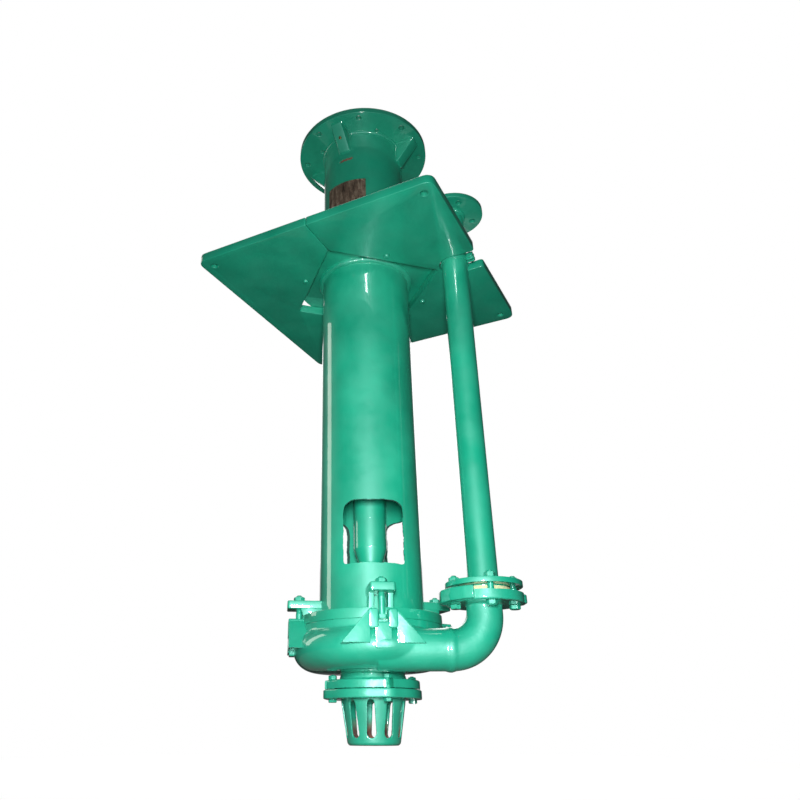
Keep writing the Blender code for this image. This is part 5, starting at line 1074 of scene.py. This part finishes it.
clamp_places = on_circle(clamp_circle, clamp_degrees)
fasteners("clamp_bolt", bolt_shape(0.016, 0.026, 0.010, 0.0872, 0.045), clamp_degrees, clamp_places,
          0.0657 + clamp_lifts)
fasteners("clamp_nut", nut_shape(0.016, 0.026, 0.012), np.array(clamp_degrees) + [4, 11, -7, 15],
          clamp_places, ear_high + 0.0003 + clamp_lifts)

# Discharge joint: a fibre gasket that swells out between the raised faces, and four M16 bolts with nuts, heads
# below. The bolts were painted in place, the gasket was not.
fibre = speckled("gasket_fibre", (0.30, 0.31, 0.15), (0.64, 0.66, 0.40), 240, 6, 0.85)
finish_piece(revolve("discharge_gasket_cut", [
    (0.034, 0.1283), (0.0594, 0.1283), (0.0594, 0.1252), (0.0635, 0.1252), (0.0635, 0.1375), (0.0594, 0.1375),
    (0.0594, 0.1323), (0.034, 0.1323)], 96, lambda p: pump_end(beside_riser(p)), 0.0005), "pump", fibre, "gasket",
    "discharge_gasket")
fasteners("discharge_bolt", bolt_shape(0.016, 0.024, 0.010, 0.0692, 0.030), [8, 33, 52, 20],
          discharge_spots, 0.1007)
fasteners("discharge_nut", nut_shape(0.016, 0.024, 0.013), [40, 14, 3, 27], discharge_spots, 0.1529)

# Suction joint: four M12 bolts in the neck flange's open slots, with their nuts above, hold the strainer against a
# thin gasket. All of it was painted over.
suction_spots = on_circle(0.210, 15 + quarters)
fasteners("suction_bolt", bolt_shape(0.012, 0.019, 0.008, 0.0547, 0.026, 0.00175), [21, 50, 8, 35],
          suction_spots, -0.1014)
fasteners("suction_nut", nut_shape(0.012, 0.019, 0.010), [2, 31, 44, 12], suction_spots, -0.0587)
painted(revolve("suction_gasket_cut", bar(0.0628, 0.0975, -0.0808, -0.0793), 96, pump_end, 0.0003),
        "suction_gasket", paint=enamel_on_casting, slot="gasket")

# Liners: a back plate below the column's foot and a throat bush in the suction, both of hard white iron, turned on
# their fits, and the thin gasket on the casing's rim, painted over.
finish_piece(revolve("back_liner_turned", [
    (0.039, 0.0478), (0.1527, 0.0478), (0.1527, 0.0673), (0.0982, 0.0673), (0.0982, 0.0793), (0.039, 0.0793)], 144,
    pump_end), "pump", hard_iron, "wear_alloy", "back_liner")
finish_piece(revolve("throat_bush_turned", bar(0.047, 0.0622, -0.0808, -0.026), 96, pump_end, 0.002), "pump",
             hard_iron, "wear_alloy", "throat_bush")
painted(revolve("casing_gasket_cut", bar(0.1533, 0.1795, 0.0658, 0.0673), 144, pump_end, 0.0003),
        "casing_gasket", paint=enamel_on_casting, slot="gasket")

# Strainer: a tapered basket with ten slots that widen downwards and drain holes in its floor, cast in one with its
# flange. The brush did not reach inside, so rust shows through the slots, least near the flange.
floor_low, floor_high, flange_foot, flange_top, basket_wall = -0.2021, -0.1951, -0.1011, -0.0811, 0.0802
enamel_on_strainer = enamel("enamel_on_strainer", cast_green, texture=2.8, dust=0.05, roughness=0.46,
                            bare_and_shade_within=0.0606, widening=0.158, level=-1.3061, primer_below=-1.257,
                            bare_and_shade_tones=((0.045, 0.012, 0.008), (0.190, 0.050, 0.026)))
basket = cut("basket", [
    (0, floor_low), (0.0595, floor_low), (0.0645, -0.1972), (basket_wall, -0.1020), (basket_wall, -0.096),
    (0.056, -0.096), (0.056, flange_foot), (0.0735, -0.1081), (0.0575, floor_high), (0, floor_high)], 216)
slot_line = np.concatenate([arc_points((0, -0.1126), 0.0085, 0, 180, 13),
                            arc_points((0, -0.1751), 0.0108, 180, 360, 15)])
slots = [slab_piece("slot", slot_line, 0.044, 0.093, very_sharp, lambda p: facing(p, 9 + 36 * k)) for k in range(10)]
drain_spots = np.concatenate([on_circle(0.076, 60 * np.arange(6)), [(0, 0)]])
carve(basket, *slots, drill(drain_spots, 0.016, floor_low, floor_high, 0))
basket = cast(basket, 0.0015, 5)
basket_flange = carve(slab_piece("basket_flange", lobed_outline(0.1200), flange_foot, flange_top, 0.0024),
                      drill(suction_spots, 0.0144, flange_foot, flange_top),
                      drill([(0, 0)], 0.112, flange_foot, flange_top, 0, 96))
strainer = join("strainer_cast", basket, basket_flange)
strainer.data.transform(to_part)
painted(strainer, "strainer", paint=enamel_on_strainer, slot="green_casting")
